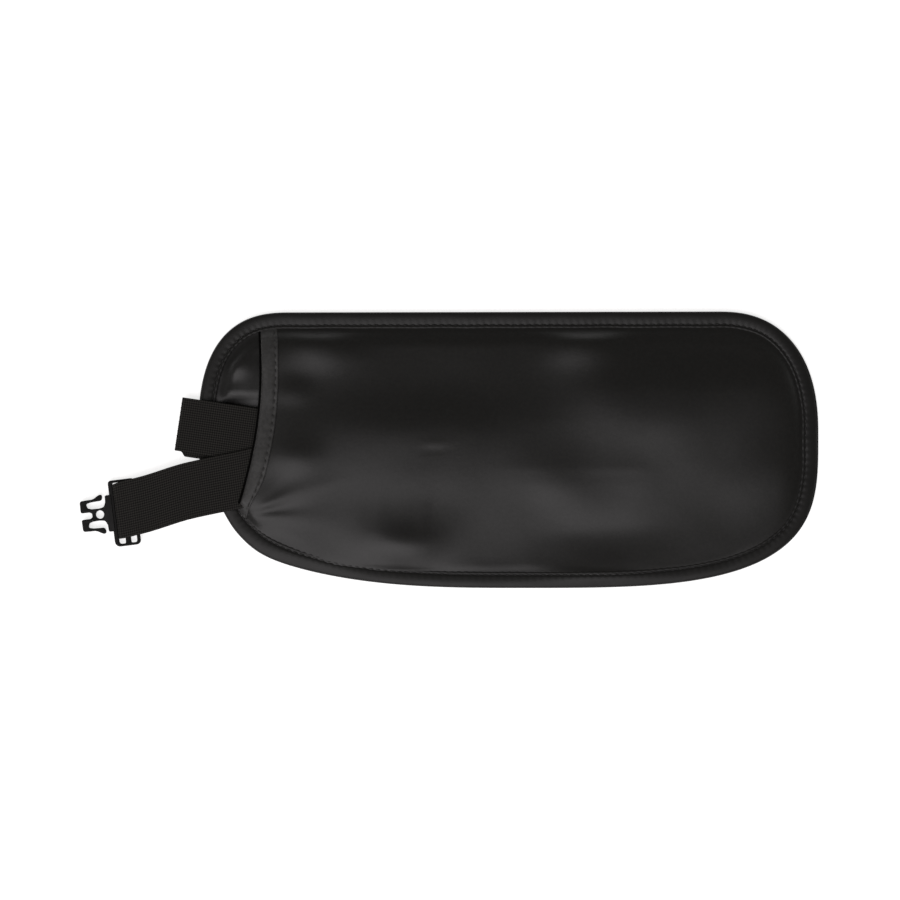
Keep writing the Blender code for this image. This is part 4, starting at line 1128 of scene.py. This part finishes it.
def add_male_buckle():
    place = buckle_place()
    slot_upper, slot_lower = FRAME_UPPER + 1.2, FRAME_LOWER - 1.2
    frame_outlines = [
        rounded(box_outline(FRAME_REAR, FRAME_FRONT, FRAME_UPPER, FRAME_LOWER), [1.2, 1.4, 2.4, 2.0]),
        rounded(box_outline(1.25, 4.15, slot_upper, slot_lower), [0.5, 0.5, 1.1, 0.6], 3),
        rounded(box_outline(-3.95, -1.25, slot_upper, slot_lower), [0.5, 0.5, 0.6, 0.9], 3),
    ]
    body = moulded("buckle_frame", frame_outlines, 1.3, 2.95, 0.45, place, "strap_end")
    half_profile = [
        ((FRAME_FRONT - 1.0, 8.35), 0.2), ((HOLE_X - 3.15, 8.35), 0.8), ((HOLE_X - 3.0, 5.2), 1.2),
        ((HOLE_X - 2.1, 3.1), 1.6), ((HOLE_X + 0.3, 2.75), 2.0), ((HOLE_X + 3.6, 2.85), 1.4),
        ((HOLE_X + 5.3, 3.4), 0.9), ((HOLE_X + 5.75, 4.9), 0.6), ((HOLE_X + 5.3, 5.8), 0.2),
        ((HOLE_X + 5.35, 7.1), 0.3), ((PRONG_TIP - 0.1, 7.0), 1.1), ((PRONG_TIP, 1.5), 0.8),
        ((PRONG_TIP - 4.0, 1.45), 0.5), ((PRONG_TIP - 5.1, 0.9), 0.9),
    ]
    upper_side = [((x, -y), r) for (x, y), r in half_profile]
    profile, radii = zip(*(upper_side + half_profile[::-1]))
    prong_outlines = [rounded(profile, radii), circle(HOLE_X, 0.0, HOLE_RADIUS)]
    prong = moulded("buckle_prong", prong_outlines, 1.0, 3.2, 0.35, place, "strap_end")
    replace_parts(body, "male_buckle")
    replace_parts(prong, "male_buckle")
    for label, side in (("upper", -1.0), ("lower", 1.0)):
        spine = [
            (1.6, -0.9), (1.9, 0.0), (1.4, 0.8), (0.3, 0.92), (-2.4, 0.98), (-3.6, 1.35), (-4.9, 2.15),
            (-6.2, 2.75), (-7.1, 2.6), (-7.25, 1.5), (-6.9, 0.35), (-6.2, -0.1), (-4.2, -0.15), (-1.6, -0.3),
            (0.0, -0.7),
        ]
        points = [(x, side * y) for x, y in spine]
        if side < 0:
            points = points[::-1]
        foot = place @ Matrix.Translation((ARM_ROOT_X * MM, side * ARM_Y * MM, 0.0))
        arm = moulded(f"buckle_arm_{label}", [rounded(points, 0.7, 3)], 1.05, 3.15, 0.3, foot, None)
        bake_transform(arm)
        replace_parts(arm, f"male_buckle_arm_{label}")


def add_female_buckle():
    start, length, wide, low, high = SOCKET
    place = Matrix.Translation(Vector(SHORT_START * MM)) @ Matrix.Rotation(SHORT_ANGLE, 4, "Z")
    half, end = wide / 2.0, start + length
    web = STRAP_WIDTH / 2.0 - 0.3
    steps = ((4.6, 0.0), (9.5, 0.0), (10.5, 2.2), (16.5, 2.2), (17.5, 0.0), (length, 1.5))
    edge = [(start + at, cut - half) for at, cut in steps]
    plate = rounded(edge + mirrored(edge), 1.4)
    walls = []
    for side in (-1.0, 1.0):
        for x0, x1 in ((start + 4.6, start + 9.4), (start + 17.6, end - 0.3)):
            y0, y1 = sorted((side * (half - 2.6), side * (half - 0.3)))
            walls.append(rounded(box_outline(x0, x1, y0, y1), 0.6, 3))
    walls.append(rounded(box_outline(start + 4.4, start + 7.4, -half + 0.4, half - 0.4), 0.6, 3))
    bar = [
        rounded(box_outline(start, start + 5.6, -half, half), 1.8),
        rounded(box_outline(start + 1.5, start + 4.1, -web, web), 0.5, 3),
    ]
    for label, outlines, bottom, top, bevel in (
        ("upper", [plate], high - 0.95, high, 0.3),
        ("lower", [plate], low, low + 0.95, 0.3),
        ("walls", walls, low + 0.8, high - 0.8, 0.1),
        ("bar", bar, low + 1.35, high - 2.15, 0.25),
    ):
        piece = moulded(f"socket_{label}", outlines, bottom, top, bevel, place, "pouch")
        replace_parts(piece, "female_buckle")


def add_coil(name, y, side, left, right):
    """One row of nylon coil teeth: each loop reaches to the middle and turns back."""
    shift = 0.0 if side > 0 else COIL_PITCH / 2.0
    points, faces = [], []
    ring = 6
    for n in range(int((right - left - 1.0) / COIL_PITCH)):
        x = left + 0.8 + shift + n * COIL_PITCH
        start = len(points)
        path = [
            (x - 0.05, 1.95, 2.72), (x - 0.02, 1.3, 2.80), (x, 0.62, 2.74), (x, 0.20, 2.45), (x, 0.62, 2.14),
            (x + 0.1, 1.3, 2.08), (x + 0.3, 1.95, 2.2),
        ]
        for i, (px, py, pz) in enumerate(path):
            before, after = np.array(path[max(i - 1, 0)]), np.array(path[min(i + 1, len(path) - 1)])
            run = (after - before) / np.linalg.norm(after - before)
            u = np.array([1.0, 0.0, 0.0])
            v = np.cross(run, u)
            v /= np.linalg.norm(v)
            fat = 0.32 if i != 3 else 0.40
            for k in range(ring):
                turn = 2 * math.pi * k / ring
                spot = np.array([px, py, pz]) + (u * math.cos(turn) + v * math.sin(turn)) * fat * 0.75
                points.append((spot[0], y + side * spot[1], spot[2]))
        faces += skin(start, len(path), ring)
    return mesh_object(name, points, faces, "pouch", NYLON)


def add_tape(name, y, side, left, right):
    """The woven tape beside the coil, with its thread row and a thick cord edge."""
    section = [
        (1.2, 2.46), (1.9, 2.54), (2.3, 2.60), (2.8, 2.52), (3.4, 2.56), (4.2, 2.52), (5.0, 2.54),
        (5.2, 2.45), (5.0, 2.34), (4.2, 2.36), (3.4, 2.32), (2.8, 2.36), (2.3, 2.30), (1.9, 2.36),
        (1.2, 2.44),
    ]
    rings, uv = [], []
    for x in np.arange(left - ZIP_TUCK, right + ZIP_TUCK + 0.1, 1.5):
        drop = max(0.0, 3.2 - float(back_height(np.array([x]), np.array([y]))[0]))
        near = 0.15 if x < left or x > right else 1.2
        ring = []
        for d, z in section:
            ripple = 0.02 * math.sin(x / 3.0 + d)
            ring.append((x, y + side * (near if d == 1.2 else d), z - drop + ripple))
            uv.append((x, d))
        rings.append(ring)
    return loft(name, rings, "pouch", TAPE, uv=uv)


def add_zip(name, y):
    left, high_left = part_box(f"{name}_coil_top")
    left, right = left.x / MM, high_left.x / MM
    for label, side in (("top", 1.0), ("bottom", -1.0)):
        coil = add_coil(f"{name}_teeth_{label}", y, side, left, right)
        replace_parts(coil, f"{name}_coil_{label}")
        tape = add_tape(f"{name}_webbing_{label}", y, side, left, right)
        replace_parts(tape, f"{name}_tape_{label}")
    add_slider_and_pull(name, y)


def add_slider_and_pull(name, y):
    centre = Matrix.Translation((SLIDER_X * MM, y * MM, 0.0))
    body = name.split("_")[0]
    half_plan = [(-4.8, -2.0), (-3.6, -2.9), (0.0, -3.0), (2.6, -3.5), (4.4, -3.3), (4.8, -1.6)]
    plan = half_plan + mirrored(half_plan)
    add_part = lambda label, outlines, low, high, bevel, place, part: moulded(
        f"{name}_{label}", outlines, low, high, bevel, place, f"{body}_{part}", METAL
    )
    post = rounded([(1.4, -0.2), (3.2, -0.25), (4.4, 0.0), (3.2, 0.25), (1.4, 0.2)], 0.1, 2)
    walls = [rounded(box_outline(-3.4, 1.6, y0, y0 + 0.4), 0.15, 2) for y0 in (-2.95, 2.55)]
    outer, inner = [(-2.9, 1.4), (-2.9, 0.15), (2.9, 0.15), (2.9, 1.4)], [(2.3, 1.4), (2.3, 0.6)]
    hoop_radii = [0.1, 0.7, 0.7, 0.1, 0.1, 0.3, 0.3, 0.1]
    hoop = rounded(outer + inner + [(-px, py) for px, py in inner[::-1]], hoop_radii, 4)
    stand = centre @ Matrix.Rotation(math.radians(90.0), 4, "X")
    for label, outlines, low, high, bevel, place in (
        ("slide_under", [rounded(plan, 0.9, 3)], 1.15, 1.75, 0.2, centre),
        ("slide_over", [rounded(plan, 0.9, 3)], 3.3, 3.9, 0.2, centre),
        ("slide_post", [post], 1.3, 3.7, 0.05, centre),
        ("slide_lip_low", walls, 1.5, 2.05, 0.05, centre),
        ("slide_lip_high", walls, 3.0, 3.5, 0.05, centre),
        ("slide_bail", [hoop], -0.6, 0.6, 0.12, stand),
    ):
        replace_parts(add_part(label, outlines, low, high, bevel, place, "slider"), f"{name}_slider")
    axis = Matrix.Translation((SLIDER_X * MM, y * MM, PULL_AXIS_Z * MM))
    half_tab = [(-21.0, -2.4), (-19.5, -3.0), (-9.0, -2.6), (-5.0, -1.9), (-3.3, -1.9)]
    tab = rounded(half_tab + mirrored(half_tab), 1.0, 4)
    grip = rounded(box_outline(-15.5, -8.0, -1.1, 1.1), 1.0, 4)
    half_loop = [(-4.2, -1.8), (0.17, -1.8)]
    inner = [(-4.2, 0.95), (-0.17, 0.95), (-0.17, -0.95), (-4.2, -0.95)]
    loop = rounded(half_loop + mirrored(half_loop) + inner, [0.1, 0.3, 0.3] + [0.1] * 5, 3)
    pull_tab = add_part("pull_tab", [tab, circle(-18.0, 0.0, 1.2), grip], -0.6, 0.15, 0.15, axis, "pull")
    pull_loop = add_part("pull_loop", [loop], -0.17, 0.15, 0.06, axis, "pull")
    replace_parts(pull_tab, f"{name}_pull")
    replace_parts(pull_loop, f"{name}_pull")


def main():
    add_stage()
    columns, rows, cover = add_cover()
    add_hem(columns, rows, cover)
    add_back_and_lining()
    add_front()
    add_zip_stitches()
    add_binding()
    add_straps()
    add_male_buckle()
    add_female_buckle()
    add_zip("upper_zip", UPPER_ZIP_Y)
    add_zip("lower_zip", LOWER_ZIP_Y)


main()
